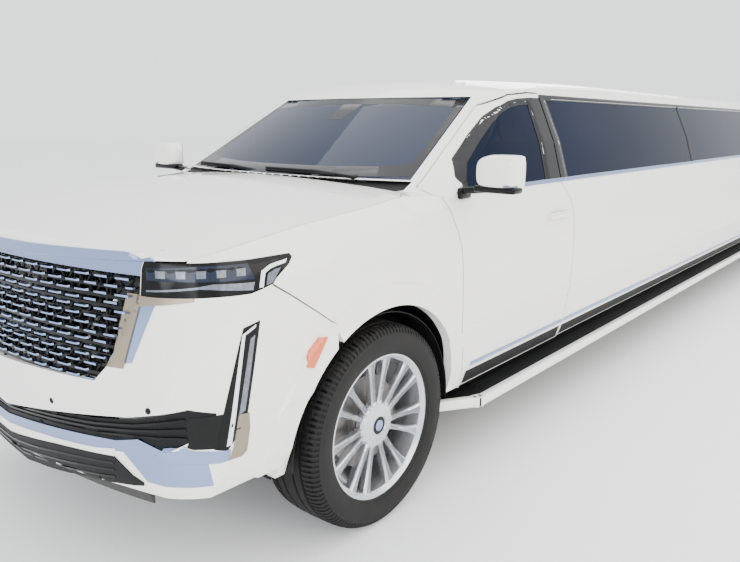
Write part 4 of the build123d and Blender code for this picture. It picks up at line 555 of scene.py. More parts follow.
for face in tyre_form.faces:
    middle = face.calc_center_median()
    x = abs(middle.x - TRACK_HALF)
    radius = math.hypot(middle.y - FRONT_AXLE, middle.z - TYRE_RADIUS)
    turn = (math.atan2(middle.z - TYRE_RADIUS, middle.y - FRONT_AXLE) / (2 * math.pi)) % 1
    if SIPE_WIDTHS[0] < x < SIPE_WIDTHS[1] and radius > SIPE_FOOT and int(turn * TYRE_STEPS) % 2:
        sipes.append(face)
bmesh.ops.inset_individual(tyre_form, faces=sipes, thickness=0.0006, depth=-0.003)
finish_four("ribbed_tyre", tyre_form, tyre_rubber, "tyre")

# Grille: bright dashes in staggered rows, held in front of the black lattice.
NOSE_SKIN = skin_tree("front_bumper", "grille", "brightwork", "lower_grille", "front_lamps", "bonnet")
NOSE_TIP = -1.01
NOSE_ROWS = ((0.7, 0.0, 0.84, 0.108), (1.06, 0.025, 0.8, 0.108), (1.16, 0.036, 0.77, 0.1))
DASH_PITCH = 0.09
DASH_ROW = 0.0262
DASH_HALF = 0.029
DASH_MIN = 0.018
GRILLE_FOOT = 0.782
GRILLE_HEAD = 1.148
GRILLE_EDGE = ((0.775, 0.56), (0.842, 0.61), (1.074, 0.735), (1.15, 0.735))


def edge_at(rows, height):
    """Sideways place of a slanting edge at a height."""
    for (low_z, low_x), (high_z, high_x) in zip(rows, rows[1:]):
        if low_z <= height <= high_z:
            return low_x + (high_x - low_x) * (height - low_z) / (high_z - low_z)
    return rows[-1][1]


def nose_y(x, z):
    """Place on Y of the nose's face: it leans back with height and curves back to the lamps."""
    for low, high in zip(NOSE_ROWS, NOSE_ROWS[1:]):
        if z <= high[0]:
            break
    share = (z - low[0]) / (high[0] - low[0])
    lean, reach, curve = (a + (b - a) * share for a, b in zip(low[1:], high[1:]))
    return aft(NOSE_TIP) + lean + curve * (x / reach) ** 2


ROW_COUNT = math.ceil((GRILLE_HEAD - GRILLE_FOOT) / DASH_ROW)
dashes = bmesh.new()
for row in range(ROW_COUNT):
    height = GRILLE_FOOT + row * DASH_ROW
    reach = edge_at(GRILLE_EDGE, height) - 0.012
    for column in range(-9, 10):
        middle = (column + 0.5 * (row % 2)) * DASH_PITCH
        left, right = max(middle - DASH_HALF, -reach), min(middle + DASH_HALF, reach)
        if right - left < DASH_MIN:
            continue
        ends = [Vector((x, nose_y(x, height) + 0.003, height)) for x in (left, right)]
        centre = (ends[0] + ends[1]) / 2
        run = ends[1] - ends[0]
        place = Matrix.Translation(centre) @ run.to_track_quat("X", "Z").to_matrix().to_4x4()
        size = Matrix.Diagonal((run.length, 0.01, 0.0078, 1))
        bar = bmesh.ops.create_cube(dashes, size=1, matrix=place @ size)
        tips = [v for v in bar["verts"] if min((v.co - end).length for end in ends) < 0.012]
        fronts = [v for v in tips if (v.co - centre).y < 0]
        bmesh.ops.scale(dashes, vec=(0.82, 1, 0.7), verts=fronts, space=Matrix.Translation(-centre))
finish_piece("grille_dashes", dashes, chrome_painted_sky_blue, "shell")

# Cross-links of the black mesh between the dashes, leaning left and right by turns.
LINK_LEAN = 0.013
links = bmesh.new()
for row in range(ROW_COUNT):
    height = GRILLE_FOOT + (row + 0.5) * DASH_ROW
    reach = edge_at(GRILLE_EDGE, height) - 0.01
    for column in range(-18, 19):
        x = (column + 0.5) * DASH_PITCH / 2
        if abs(x) > reach:
            continue
        lean = LINK_LEAN if (column + row) % 2 else -LINK_LEAN
        first = Vector((x - lean, nose_y(x, height) + 0.018, height - DASH_ROW / 2))
        last = Vector((x + lean, first.y - 0.001, height + DASH_ROW / 2))
        run = last - first
        place = Matrix.Translation((first + last) / 2) @ run.to_track_quat("Z", "Y").to_matrix().to_4x4()
        size = Matrix.Diagonal((0.0055, 0.008, run.length, 1))
        bmesh.ops.create_cube(links, size=1, matrix=place @ size)
finish_piece("grille_mesh_links", links, grained_black, "shell")

# Bright bar over the grille: its lower edge follows the lattice, its ends turn down to the headlamps.
bar_low = [
    (0.0, -0.975, 1.15), (0.2, -0.968, 1.155), (0.376, -0.947, 1.166), (0.638, -0.897, 1.177),
    (0.79, -0.85, 1.184)]
bar_high = [
    (0.775, -0.85, 1.1955), (0.745, -0.87, 1.205), (0.638, -0.9, 1.204), (0.376, -0.94, 1.196),
    (0.2, -0.96, 1.191), (0.0, -0.97, 1.189)]
mirrored_low = [(-x, y, z) for x, y, z in reversed(bar_low[1:])]
mirrored_high = [(-x, y, z) for x, y, z in reversed(bar_high[:-1])]
finish_piece(
    "grille_top_bar",
    sheet(
        mirrored_low + bar_low + bar_high + mirrored_high, FROM_FRONT, NOSE_SKIN, (0.05, 0.02), 0.007,
        depth=0.02, rim=0.002),
    chrome_painted_sky_blue, "shell")


def corner_sheet(name, skin, outline, step, lift, rim, material, **more):
    """Pair of sheets laid on the front corners, seen from the corner."""
    finish_pair(name, sheet(outline, FROM_CORNER, skin, step, lift, rim=rim, **more), material)


# Satin side trims of the grille, with the thin tail under each headlamp.
finish_pair("grille_side_trim", sheet(
    [(0.622, 0, 0.838), (0.69, 0, 0.842), (0.752, 0, 1.046), (0.905, 0, 1.068), (0.905, 0, 1.079),
     (0.69, 0, 1.079)],
    FROM_FRONT, NOSE_SKIN, (0.012, 0.03), 0.005, rim=0), satin_chrome)

# Headlamp: blue band of projector lenses, bright lower strip and the folded light at the corner.
LAMP_SKIN = skin_tree("front_lamps", "front_bumper", "wing_left", "bonnet")
corner_sheet(
    "headlamp_band", LAMP_SKIN,
    [(0.762, -0.87, 1.128), (0.762, -0.87, 1.163), (0.86, -0.77, 1.171), (0.958, -0.64, 1.171),
     (0.968, -0.62, 1.121), (0.912, -0.74, 1.124)],
    (0.03, 0.03), 0.0012, 0.0006, lamp_glass)
corner_sheet(
    "headlamp_strip", LAMP_SKIN,
    [(0.76, -0.872, 1.098), (0.908, -0.785, 1.112), (0.934, -0.752, 1.118), (0.983, -0.632, 1.112),
     (0.985, -0.642, 1.088), (0.934, -0.758, 1.101), (0.908, -0.785, 1.104), (0.76, -0.872, 1.092)],
    (0.03, 0.03), 0.0025, 0.0008, lamp_silver)
corner_sheet(
    "headlamp_corner_light", LAMP_SKIN,
    [(0.984, -0.617, 1.092), (0.979, -0.602, 1.142), (0.977, -0.566, 1.157), (0.98, -0.492, 1.167),
     (0.98, -0.5, 1.156), (0.978, -0.562, 1.144), (0.98, -0.586, 1.134), (0.985, -0.6, 1.092)],
    (0.02, 0.02), 0.003, 0.0008, frosted_guide)
corner_sheet(
    "headlamp_corner_lens", LAMP_SKIN,
    [(0.985, -0.588, 1.096), (0.98, -0.575, 1.13), (0.98, -0.545, 1.14), (0.98, -0.52, 1.142),
     (0.986, -0.548, 1.112), (0.986, -0.565, 1.098)],
    (0.02, 0.02), 0.0018, 0.0006, lamp_silver)
projectors = bmesh.new()
for back in (-0.835, -0.79, -0.745, -0.7, -0.655):
    x = 0.785 + (back + 0.835) * 0.88
    cell = [
        (x - 0.012, back - 0.01, 1.134), (x - 0.012, back - 0.01, 1.158),
        (x + 0.012, back + 0.01, 1.158), (x + 0.012, back + 0.01, 1.134)]
    sheet(cell, FROM_CORNER, LAMP_SKIN, (0.02, 0.02), 0.0022, rim=0.002, form=projectors)
finish_pair("headlamp_projectors", projectors, lamp_silver)

# White skin over the bumper corner, where the solid carries its plain lamp block further inboard.
CORNER_SKIN = skin_tree("front_bumper", "front_lamps", "lower_grille", "brightwork", "wing_left")
corner_sheet(
    "bumper_corner_skin", CORNER_SKIN,
    [(0.862, -0.88, 0.746), (0.862, -0.88, 0.968), (0.95, -0.775, 0.998), (0.99, -0.68, 1.002),
     (0.99, -0.67, 0.728), (0.965, -0.785, 0.722), (0.9, -0.855, 0.74)],
    (0.015, 0.03), 0.001, 0.0006, white_enamel, depth=0.003, swing=0.12)

# Corner lamp: black housing, opal light bar, smoked lens and a satin foot that turns into the lower trim.
OUTER_SKIN = skin_tree("front_bumper", "front_lamps", "wing_left", "lower_grille", "brightwork")
corner_sheet(
    "corner_lamp_housing", OUTER_SKIN,
    [(0.99, -0.702, 0.948), (0.99, -0.69, 0.976), (0.99, -0.622, 0.991), (0.99, -0.684, 0.7),
     (0.97, -0.7, 0.64), (0.96, -0.744, 0.588), (0.95, -0.79, 0.6)],
    (0.012, 0.03), 0.003, 0.0012, piano_black)
corner_sheet(
    "corner_light_bar", OUTER_SKIN,
    [(0.99, -0.64, 0.976), (0.99, -0.646, 0.97), (0.988, -0.682, 0.953), (0.974, -0.74, 0.604),
     (0.968, -0.756, 0.604), (0.985, -0.692, 0.956), (0.99, -0.64, 0.982)],
    (0.012, 0.03), 0.005, 0.0008, frosted_guide)
corner_sheet(
    "corner_lamp_lens", OUTER_SKIN,
    [(0.99, -0.664, 0.94), (0.99, -0.644, 0.95), (0.985, -0.69, 0.712), (0.975, -0.71, 0.7)],
    (0.012, 0.03), 0.0044, 0.001, lamp_silver)
corner_sheet(
    "corner_satin_foot", OUTER_SKIN,
    [(0.991, -0.722, 0.706), (0.992, -0.679, 0.698), (0.985, -0.672, 0.64), (0.972, -0.676, 0.56),
     (0.962, -0.69, 0.545), (0.962, -0.742, 0.549), (0.969, -0.728, 0.594)],
    (0.012, 0.03), 0.0036, 0.0012, satin_chrome)
corner_sheet(
    "lower_trim_corner", OUTER_SKIN,
    [(0.83, -0.889, 0.604), (0.882, -0.854, 0.612), (0.914, -0.843, 0.602), (0.947, -0.803, 0.596),
     (0.968, -0.738, 0.588), (0.962, -0.742, 0.549), (0.906, -0.846, 0.556), (0.829, -0.898, 0.551),
     (0.79, -0.905, 0.57)],
    (0.02, 0.02), 0.003, 0.0012, chrome_painted_sky_blue)
corner_sheet(
    "intake_corner", OUTER_SKIN,
    [(0.872, -0.872, 0.7), (0.917, -0.846, 0.714), (0.975, -0.76, 0.716), (0.966, -0.768, 0.602),
     (0.914, -0.843, 0.606), (0.872, -0.86, 0.62)],
    (0.02, 0.02), 0.0026, 0.001, grained_black)


def nose_band(upper, lower, lift, form=None, depth=0.004, rim=0.001):
    """Closed band between two lines of the nose that run outwards from the middle."""
    form = form or bmesh.new()
    for a, b, c, d in zip(upper, upper[1:], lower[1:], lower):
        for sign in (1, -1):
            corners = [(sign * x, 0, z) for x, z in (a, b, c, d)]
            sheet(corners, FROM_FRONT, NOSE_SKIN, (0.05, 0.03), lift, depth=depth, rim=0, form=form)
    return form


def nose_louvres(name, top, foot, lift):
    """Three slats that follow the nose between two lines."""
    for number, share in enumerate((0.25, 0.5, 0.75), 1):
        line = [(x, high + (low - high) * share) for (x, high), (_, low) in zip(top, foot)]
        slat = nose_band(
            [(x, z + SLAT_HALF) for x, z in line], [(x, z - SLAT_HALF) for x, z in line], lift)
        finish_piece(f"{name}_louvre_{number}", slat, piano_black, "shell")


# Intake panel with its louvres, the white lip under the bright trim, and the air dam.
# Each line runs outwards from the middle as x and z places.
SLAT_HALF = 0.004
intake_top = ((0.0, 0.576), (0.1, 0.59), (0.334, 0.616), (0.54, 0.642), (0.715, 0.674), (0.905, 0.737))
intake_foot = ((0.0, 0.527), (0.1, 0.535), (0.341, 0.556), (0.546, 0.575), (0.715, 0.6), (0.905, 0.612))
finish_piece(
    "intake_panel", nose_band(intake_top, intake_foot, -0.002), grained_black, "shell",
    ("lower_grille",))
nose_louvres("intake", intake_top, intake_foot, 0.005)
lip_top = (
    (0.0, 0.49), (0.072, 0.496), (0.211, 0.51), (0.332, 0.521), (0.44, 0.531), (0.54, 0.542),
    (0.634, 0.56))
lip_foot = (
    (0.0, 0.452), (0.063, 0.458), (0.205, 0.478), (0.329, 0.496), (0.438, 0.508), (0.537, 0.518),
    (0.625, 0.528))
finish_piece("bumper_lip", nose_band(lip_top, lip_foot, 0.0035), white_enamel, "shell")
dam_top = (
    (0.0, 0.456), (0.063, 0.462), (0.205, 0.482), (0.329, 0.5), (0.438, 0.512), (0.537, 0.522),
    (0.625, 0.532), (0.703, 0.481), (0.745, 0.467))
dam_foot = (
    (0.0, 0.318), (0.063, 0.33), (0.205, 0.35), (0.329, 0.372), (0.438, 0.396), (0.537, 0.414),
    (0.625, 0.432), (0.703, 0.446), (0.745, 0.456))
finish_piece("air_dam", nose_band(dam_top, dam_foot, 0.0045, depth=0.01), grained_black, "shell")
nose_louvres("air_dam", dam_top[:7], dam_foot[:7], 0.006)


def ring_of_points(half_width, half_height, count=12):
    """Points of an oval round the origin."""
    turns = [2 * math.pi * number / count for number in range(count)]
    return [(half_width * math.cos(turn), half_height * math.sin(turn)) for turn in turns]


# Parking sensors and the amber side marker.
sensors = bmesh.new()
for x, height in ((0.79, 0.722), (0.33, 0.66)):
    disc = [(x + a, 0, height + b) for a, b in ring_of_points(0.011, 0.011)]
    sheet(disc, FROM_FRONT, NOSE_SKIN, (0.05, 0.05), 0.0012, rim=0.0008, form=sensors)
finish_pair("parking_sensors", sensors, grained_black)
SIDE_SKIN = skin_tree(
    "wing_left", "front_bumper", "front_door_left", "rear_door_left", "body_side_left", "side_glass",
    "front_door_glass_left", "rear_door_glass_left", "roof")
finish_pair("side_marker", sheet(
    [(0, -0.378, 0.88), (0, -0.348, 0.878), (0, -0.372, 0.838), (0, -0.412, 0.78), (0, -0.446, 0.79),
     (0, -0.428, 0.842)],
    FROM_LEFT, SIDE_SKIN, (0.008, 0.01), 0.0045, rim=0, swing=0.03), amber_acrylic)


def side_band(name, upper, lower, material, body, lift, spacing, rim=0.0005):
    """Band along the flank between two lines of the same count of points."""
    form = bmesh.new()
    for a, b, c, d in zip(upper, upper[1:], lower[1:], lower):
        sheet(
            [(0, *a), (0, *b), (0, *c), (0, *d)], FROM_LEFT, SIDE_SKIN, spacing, lift, rim=rim,
            form=form, swing=0.2)
    finish_pair(name, form, material, body)


# Black window surrounds and pillars, on the doors and between the panes.
FRAME_LIFT = 0.003
BELT_LINE = 1.306
WINDOW_TOP = 1.74
frame_outer = (
    (0.592, 1.318), (0.598, 1.366), (0.672, 1.436), (0.84, 1.536), (1.012, 1.63), (1.12, 1.675),
    (1.24, 1.708), (1.34, 1.722), (1.48, 1.73), (1.52, 1.732))
frame_inner = (
    (0.64, 1.318), (0.64, 1.362), (0.706, 1.42), (0.862, 1.512), (1.026, 1.602), (1.128, 1.645),
    (1.24, 1.674), (1.34, 1.688), (1.452, 1.694), (1.452, 1.694))
side_band(
    "front_window_frame", frame_outer, frame_inner, piano_black, "front_door", FRAME_LIFT,
    (0.02, 0.012), rim=0)
side_band(
    "front_pillar_panel", ((1.44, 1.728), (1.584, 1.732)), ((1.396, BELT_LINE), (1.562, BELT_LINE)),
    piano_black, "front_door", FRAME_LIFT, (0.02, 0.03))
side_band(
    "rear_window_frame",
    ((6.775, BELT_LINE), (6.798, WINDOW_TOP), (7.77, WINDOW_TOP), (7.812, BELT_LINE)),
    ((6.862, BELT_LINE), (6.884, 1.716), (7.67, 1.716), (7.712, BELT_LINE)),
    piano_black, "rear_door", FRAME_LIFT, (0.02, 0.012), rim=0)


def pillar_band(name, head, foot):
    """Band from the window's top down to the belt; head and foot are its front and rear places."""
    side_band(
        name, [(back, WINDOW_TOP) for back in head], [(back, BELT_LINE) for back in foot],
        piano_black, "shell", FRAME_LIFT, (0.02, 0.03))


pillar_band("saloon_front_frame", (1.597, 1.672), (1.574, 1.668))
side_band(
    "saloon_top_frame", ((1.6, 1.75), (6.68, 1.75)), ((1.6, 1.72), (6.68, 1.72)),
    piano_black, "shell", FRAME_LIFT, (0.2, 0.008))

# The joint between the two saloon panes.
side_band(
    "saloon_joint", ((3.985, 1.735), (4.035, 1.735)), ((3.985, BELT_LINE), (4.035, BELT_LINE)),
    weatherstrip, "shell", FRAME_LIFT, (0.01, 0.03))
pillar_band("saloon_rear_frame", (6.64, 6.778), (6.64, 6.752))
pillar_band("quarter_front_frame", (7.79, 7.915), (7.83, 7.955))


def flank_strip(name, body, start, end, head, material, lift, rim, step=0.06, thick=0.02):
    """Straight strip along the flank; head is the height of its upper edge at start and end."""
    upper = ((start, head[0]), (end, head[1]))
    lower = ((start, head[0] - thick), (end, head[1] - thick))
    side_band(name, upper, lower, material, body, lift, (step, 0.03), rim)


# Bright strips: along the belt, and low on the doors and the flank.
LONG_STEP = 0.25
BELT_HEAD = (1.312, 1.312)
LOW_HEAD = (0.512, 0.512)
for name, body, start, end, step in (
        ("front_door", "front_door", 0.6, 1.606, 0.06), ("saloon", "shell", 1.616, 6.688, LONG_STEP),
        ("rear_door", "rear_door", 6.706, 7.794, 0.06), ("quarter", "shell", 7.806, 9.000, 0.06)):
    flank_strip(f"{name}_belt_strip", body, start, end, BELT_HEAD, chrome_painted_sky_blue, 0.005, 0.0016, step)
for name, body, start, end, step in (
        ("front_door", "front_door", 0.66, 1.64, 0.06), ("saloon", "shell", 1.672, 6.57, LONG_STEP),
        ("rear_door", "rear_door", 6.6, 7.52, 0.06)):
    flank_strip(f"{name}_low_strip", body, start, end, LOW_HEAD, chrome_painted_sky_blue, 0.006, 0.002, step)

# Pressed crease lines of the flank, as slim raised lines of the same enamel.
flank_strip(
    "front_door_crease", "front_door", 0.56, 1.64, (0.722, 0.716), white_enamel, 0.003, 0.0025,
    thick=0.01)
flank_strip(
    "saloon_crease", "shell", 1.668, 6.64, (0.716, 0.66), white_enamel, 0.003, 0.0025, LONG_STEP, 0.01)

# Mirrors: white cap, black base and arm, indicator and glass.
MIRROR_MIDDLE = Vector((1.15, aft(0.555), 1.398))
MIRROR_INNER = Vector((1.15, aft(0.575), 1.38))
MIRROR_SIZE = (0.208, 0.092, 0.146)
cap = bmesh.new()
bmesh.ops.create_cube(
    cap, size=1, matrix=Matrix.Translation(MIRROR_MIDDLE) @ Matrix.Diagonal((*MIRROR_SIZE, 1)))
bmesh.ops.subdivide_edges(cap, edges=cap.edges[:], cuts=5, use_grid_fill=True)
front_verts = [v for v in cap.verts if v.co.y < aft(0.512)]
bmesh.ops.scale(cap, vec=(0.78, 1, 0.74), verts=front_verts, space=Matrix.Translation(-MIRROR_MIDDLE))
inner_verts = [v for v in cap.verts if v.co.x < 1.06]
bmesh.ops.scale(cap, vec=(1, 0.86, 0.8), verts=inner_verts, space=Matrix.Translation(-MIRROR_INNER))
for _ in range(6):
    shell_verts = [v for v in cap.verts if v.co.y < aft(0.596)]
    bmesh.ops.smooth_vert(
        cap, verts=shell_verts, factor=0.5, use_axis_x=True, use_axis_y=True, use_axis_z=True)
bmesh.ops.bisect_plane(
    cap, geom=cap.verts[:] + cap.edges[:] + cap.faces[:], dist=0.1 * MM,
    plane_co=(0, 0, 1.338), plane_no=(0.12, 0, 1), clear_inner=True)
bmesh.ops.holes_fill(cap, edges=[e for e in cap.edges if e.is_boundary])
for piece in finish_pair("mirror_cap", cap, white_enamel, "front_door", "mirror"):
    round_off(piece, "rounded")
finish_pair(
    "mirror_base", rounded_block(bmesh.new(), (0.196, 0.08, 0.03), (1.146, 0.56, 1.328), 0.012, 4),
    piano_black, "front_door")
arm = bmesh.new()
rounded_block(
    arm, (0.14, 0.052, 0.03), (1.03, 0.572, 1.318), 0.011, 4, Matrix.Rotation(math.radians(-6), 4, "Y"))
rounded_block(arm, (0.026, 0.086, 0.05), (0.972, 0.58, 1.3), 0.01, 4)
finish_pair("mirror_arm", arm, piano_black, "front_door")
finish_pair(
    "mirror_indicator",
    rounded_block(
        bmesh.new(), (0.06, 0.01, 0.01), (1.222, 0.526, 1.345), 0.003, 2,
        Matrix.Rotation(math.radians(40), 4, "Z")),
    lamp_silver, "front_door")
finish_pair(
    "mirror_glass", rounded_block(bmesh.new(), (0.176, 0.004, 0.112), (1.15, 0.6045, 1.402), 0.0016, 2),
    chrome_painted_sky_blue, "front_door")

# Running boards: a white edge round a ribbed black tread.
edge_bar = bmesh.new()
path = ((0.87, 0.43), (1.018, 0.66), (1.03, 0.69), (1.03, 7.56))
for start, end in zip(path, path[1:]):
    first, last = Vector((start[0], aft(start[1]), 0.3245)), Vector((end[0], aft(end[1]), 0.3245))
    run = last - first
    place = Matrix.Translation((first + last) / 2) @ run.to_track_quat("Y", "Z").to_matrix().to_4x4()
    block = bmesh.ops.create_cube(
        edge_bar, size=1, matrix=place @ Matrix.Diagonal((0.04, run.length + 0.012, 0.047, 1)))
    long_edges = [e for e in {e for v in block["verts"] for e in v.link_edges} if e.calc_length() > 0.06]
    round_edges(edge_bar, long_edges, 0.008, 3)
finish_pair("running_board_edge", edge_bar, white_enamel)
tread = bmesh.new()
for number in range(6):
    rounded_block(tread, (0.012, 6.6, 0.003), (0.872 + 0.024 * number, 4.08, 0.3462), 0.0012, 1)
finish_pair("running_board_ribs", tread, grained_black)
# Black sheets low on the front door and flank, where the sill lies in shade under the body: painted shade.
for name, body, edges, step in (
        ("front_door", "front_door", ((0.64, 0.47), (1.634, 0.47), (1.64, 0.402), (0.64, 0.402)), 0.1),
        ("saloon", "shell", ((1.672, 0.47), (6.56, 0.47), (6.56, 0.41), (1.672, 0.41)), LONG_STEP)):
    sill_shade_sheet = sheet(
        [(0, *corner) for corner in edges], FROM_LEFT, SIDE_SKIN, (step, 0.03), 0.003, rim=0.002)
    finish_pair(f"{name}_sill_guard", sill_shade_sheet, grained_black, body)

# Windscreen: black printed border, sensor box, wipers and their spindles.
SCREEN_SKIN = skin_tree("windscreen", "roof", "cowl")
border = bmesh.new()
left_line = [
    (0.0, 0, 1.353), (0.3, 0, 1.354), (0.6, 0, 1.358), (0.752, 0, 1.364), (0.706, 0, 1.54),
    (0.656, 0, 1.714), (0.3, 0, 1.7215), (0.0, 0, 1.7225)]
inner_line = [
    (0.0, 0, 1.392), (0.3, 0, 1.393), (0.56, 0, 1.4), (0.7, 0, 1.414), (0.668, 0, 1.54),
    (0.628, 0, 1.672), (0.3, 0, 1.692), (0.0, 0, 1.692)]
for a, b, c, d in zip(left_line, left_line[1:], inner_line[1:], inner_line):
    for sign in (1, -1):
        sheet(
            [(sign * p[0], p[1], p[2]) for p in (a, b, c, d)], FROM_FRONT, SCREEN_SKIN, (0.06, 0.05),
            0.001, depth=0.002, rim=0, form=border)
finish_piece("windscreen_border", border, piano_black, "shell")
sensor_box = sheet(
    [(-0.07, 0, 1.7), (0.07, 0, 1.7), (0.05, 0, 1.61), (-0.05, 0, 1.61)], FROM_FRONT, SCREEN_SKIN,
    (0.05, 0.05), 0.0012, depth=0.002, rim=0)
finish_piece("windscreen_sensor_patch", sensor_box, piano_black, "shell")
wipers = bmesh.new()
for spindle, elbow, tip in (
        ((0.5, 0.392, 1.352), (0.25, 0.37, 1.372), (-0.06, 0.372, 1.374)),
        ((-0.12, 0.372, 1.352), (-0.33, 0.378, 1.372), (-0.64, 0.42, 1.376))):
    rod_between(wipers, spindle, elbow, 0.009, 10)
    rod_between(wipers, elbow, tip, 0.006, 8)
    blade_start = (elbow[0] + 0.16, elbow[1] - 0.004, elbow[2] - 0.01)
    rod_between(wipers, blade_start, (tip[0], tip[1] - 0.002, tip[2] - 0.01), 0.006, 8)
    foot, head = (spindle[0], spindle[1] + 0.01, 1.335), (spindle[0], spindle[1] + 0.003, 1.362)
    rod_between(wipers, foot, head, 0.017, 16)
finish_piece("wipers", wipers, grained_black, "shell")
louvres = bmesh.new()
for number in range(22):
    x = -0.66 + number * 0.06
    rounded_block(louvres, (0.04, 0.01, 0.006), (x, 0.332, 1.3455), 0.002, 1)
finish_piece("cowl_louvres", louvres, grained_black, "shell")

# Dark lining of the wheel arches, seen over the tyres.
ARCH_RADIUS = 0.478
ARCH_HEIGHT = TYRE_RADIUS - 0.02
for name, centre in (("front", FRONT_AXLE), ("rear", REAR_AXLE)):
    lining = bmesh.new()
    ends = [lining.verts.new((x, centre + ARCH_RADIUS, ARCH_HEIGHT)) for x in (0.7, 0.975)]
    strip = [lining.edges.new(ends)]
    bmesh.ops.spin(
        lining, geom=ends + strip, cent=(0, centre, ARCH_HEIGHT), axis=(1, 0, 0), angle=math.pi, steps=48)
    bmesh.ops.solidify(lining, geom=lining.faces[:], thickness=0.004)
    finish_pair(f"{name}_arch_lining", lining, grained_black)

# Tail: light guides in the lamps, bright strip, plate recess without a plate, wiper and lower trims.
TAIL_SKIN = skin_tree(
    "tailgate", "tailgate_glass", "tail_lamps", "rear_bumper", "body_side_left", "body_side_right",
    "roof")


def tail_plate(name, foot, head, material, body, lift=0.003, rim=0.0012):
    """Symmetric sheet on the tail; foot and head are a half width and a height."""
    corners = [(-foot[0], 0, foot[1]), (foot[0], 0, foot[1]), (head[0], 0, head[1]), (-head[0], 0, head[1])]
    made = sheet(corners, FROM_REAR, TAIL_SKIN, (0.05, 0.05), lift, rim=rim)
    finish_piece(name, made, material, body)


GUIDE_SLANT = 0.055
for name, low, high, middle, half, lift, material in (
        ("tail_light_outer_guide", 0.77, 1.69, 0.845, 0.012, 0.004, red_acrylic),
        ("tail_light_clear_guide", 0.8, 1.64, 0.795, 0.006, 0.005, frosted_guide)):
    corners = [(middle - half, 0, low), (middle + half, 0, low),
               (middle + half - GUIDE_SLANT, 0, high), (middle - half - GUIDE_SLANT, 0, high)]
    finish_pair(name, sheet(corners, FROM_REAR, TAIL_SKIN, (0.02, 0.06), lift, rim=0.002), material)
tail_plate("tailgate_bright_strip", (0.56, 1.168), (0.56, 1.196), chrome_painted_sky_blue, "tailgate", 0.005)
tail_plate("plate_recess", (0.29, 0.9), (0.32, 1.08), grained_black, "tailgate", 0.002)


def tail_frame(name, strips, material, spacing, lift, rim):
    """Frame on the tailgate from four-sided strips of x and z places."""
    form = bmesh.new()
    for corners in strips:
        sheet([(x, 0, z) for x, z in corners], FROM_REAR, TAIL_SKIN, spacing, lift, rim=rim, form=form)
    finish_piece(name, form, material, "tailgate")


PLATE_FRAME = (
    ((-0.275, 0.905), (0.275, 0.905), (0.275, 0.912), (-0.275, 0.912)),
    ((-0.275, 1.056), (0.275, 1.056), (0.275, 1.063), (-0.275, 1.063)),
    ((-0.282, 0.905), (-0.275, 0.905), (-0.275, 1.063), (-0.282, 1.063)),
    ((0.275, 0.905), (0.282, 0.905), (0.282, 1.063), (0.275, 1.063)))
GLASS_FRAME = (
    ((-0.598, 1.3), (0.598, 1.3), (0.572, 1.33), (-0.572, 1.33)),
    ((-0.558, 1.64), (0.558, 1.64), (0.556, 1.67), (-0.556, 1.67)),
    ((0.598, 1.3), (0.558, 1.67), (0.528, 1.65), (0.566, 1.32)),
    ((-0.598, 1.3), (-0.558, 1.67), (-0.528, 1.65), (-0.566, 1.32)))
tail_frame("plate_holder_frame", PLATE_FRAME, chrome_painted_sky_blue, (0.1, 0.1), 0.008, 0.001)
tail_plate(
    "tailgate_handle_bar", (0.18, 1.092), (0.17, 1.128), piano_black, "tailgate", 0.008, rim=0.004)
tail_plate("high_brake_lamp", (0.26, 1.738), (0.25, 1.76), red_acrylic, "tailgate", 0.004)
tail_frame("tailgate_glass_border", GLASS_FRAME, piano_black, (0.1, 0.06), 0.0015, 0)
rear_wiper = bmesh.new()
rod_between(rear_wiper, (0.0, 9.366, 1.306), (0.0, 9.392, 1.306), 0.016, 16)
rod_between(rear_wiper, (0.0, 9.386, 1.31), (-0.33, 9.372, 1.352), 0.007, 8)
finish_piece("tailgate_wiper", rear_wiper, grained_black, "tailgate")
tail_plate("rear_bumper_step_pad", (0.56, 0.64), (0.6, 0.69), grained_black, "shell", 0.003)
tail_plate("rear_valance", (0.7, 0.345), (0.78, 0.45), grained_black, "shell", 0.003)
tail_plate("rear_valance_strip", (0.78, 0.454), (0.79, 0.474), chrome_painted_sky_blue, "shell", 0.005)
for name, corners, lift, rim, material in (
        ("rear_reflector", ((0.64, 0.52), (0.8, 0.52), (0.81, 0.552), (0.64, 0.552)),
         0.004, 0.002, red_acrylic),
        ("exhaust_trim", ((0.48, 0.362), (0.64, 0.362), (0.65, 0.432), (0.47, 0.432)),
         0.01, 0.006, chrome_painted_sky_blue)):
    trim = sheet([(x, 0, z) for x, z in corners], FROM_REAR, TAIL_SKIN, (0.05, 0.05), lift, rim=rim)
    finish_pair(name, trim, material)

# Roof: aerial fin in front, gutter lines along the saloon.
ROOF_SKIN = skin_tree("roof")
oval = [(0.463 + a, 1.3 + b, 0) for a, b in ring_of_points(0.035, 0.06)]
fin = sheet(oval, FROM_ABOVE, ROOF_SKIN, (0.1, 0.1), 0.01, rim=0.007)
finish_piece("aerial_pod", fin, white_enamel, "shell")
gutter = sheet(
    [(0.716, 1.7, 0), (0.724, 1.7, 0), (0.724, 8.8, 0), (0.716, 8.8, 0)], FROM_ABOVE, ROOF_SKIN,
    (0.1, 0.4), 0.003, rim=0.002)
finish_pair("roof_gutter", gutter, white_enamel)

# Door handles: an inlay of bright trim on each grip.
HANDLE_SKIN = skin_tree("front_door_left", "rear_door_left")
for name, rear_end in (("front", 1.545), ("rear", REAR_AXLE - FRONT_AXLE - 0.43)):
    start, end = rear_end - 0.205, rear_end - 0.03
    inlay = sheet(
        [(0, start, 1.138), (0, end, 1.138), (0, end, 1.148), (0, start, 1.148)],
        FROM_LEFT, HANDLE_SKIN, (0.05, 0.02), 0.0025, rim=0.001)
    finish_pair(f"{name}_handle_inlay", inlay, chrome_painted_sky_blue, f"{name}_door")


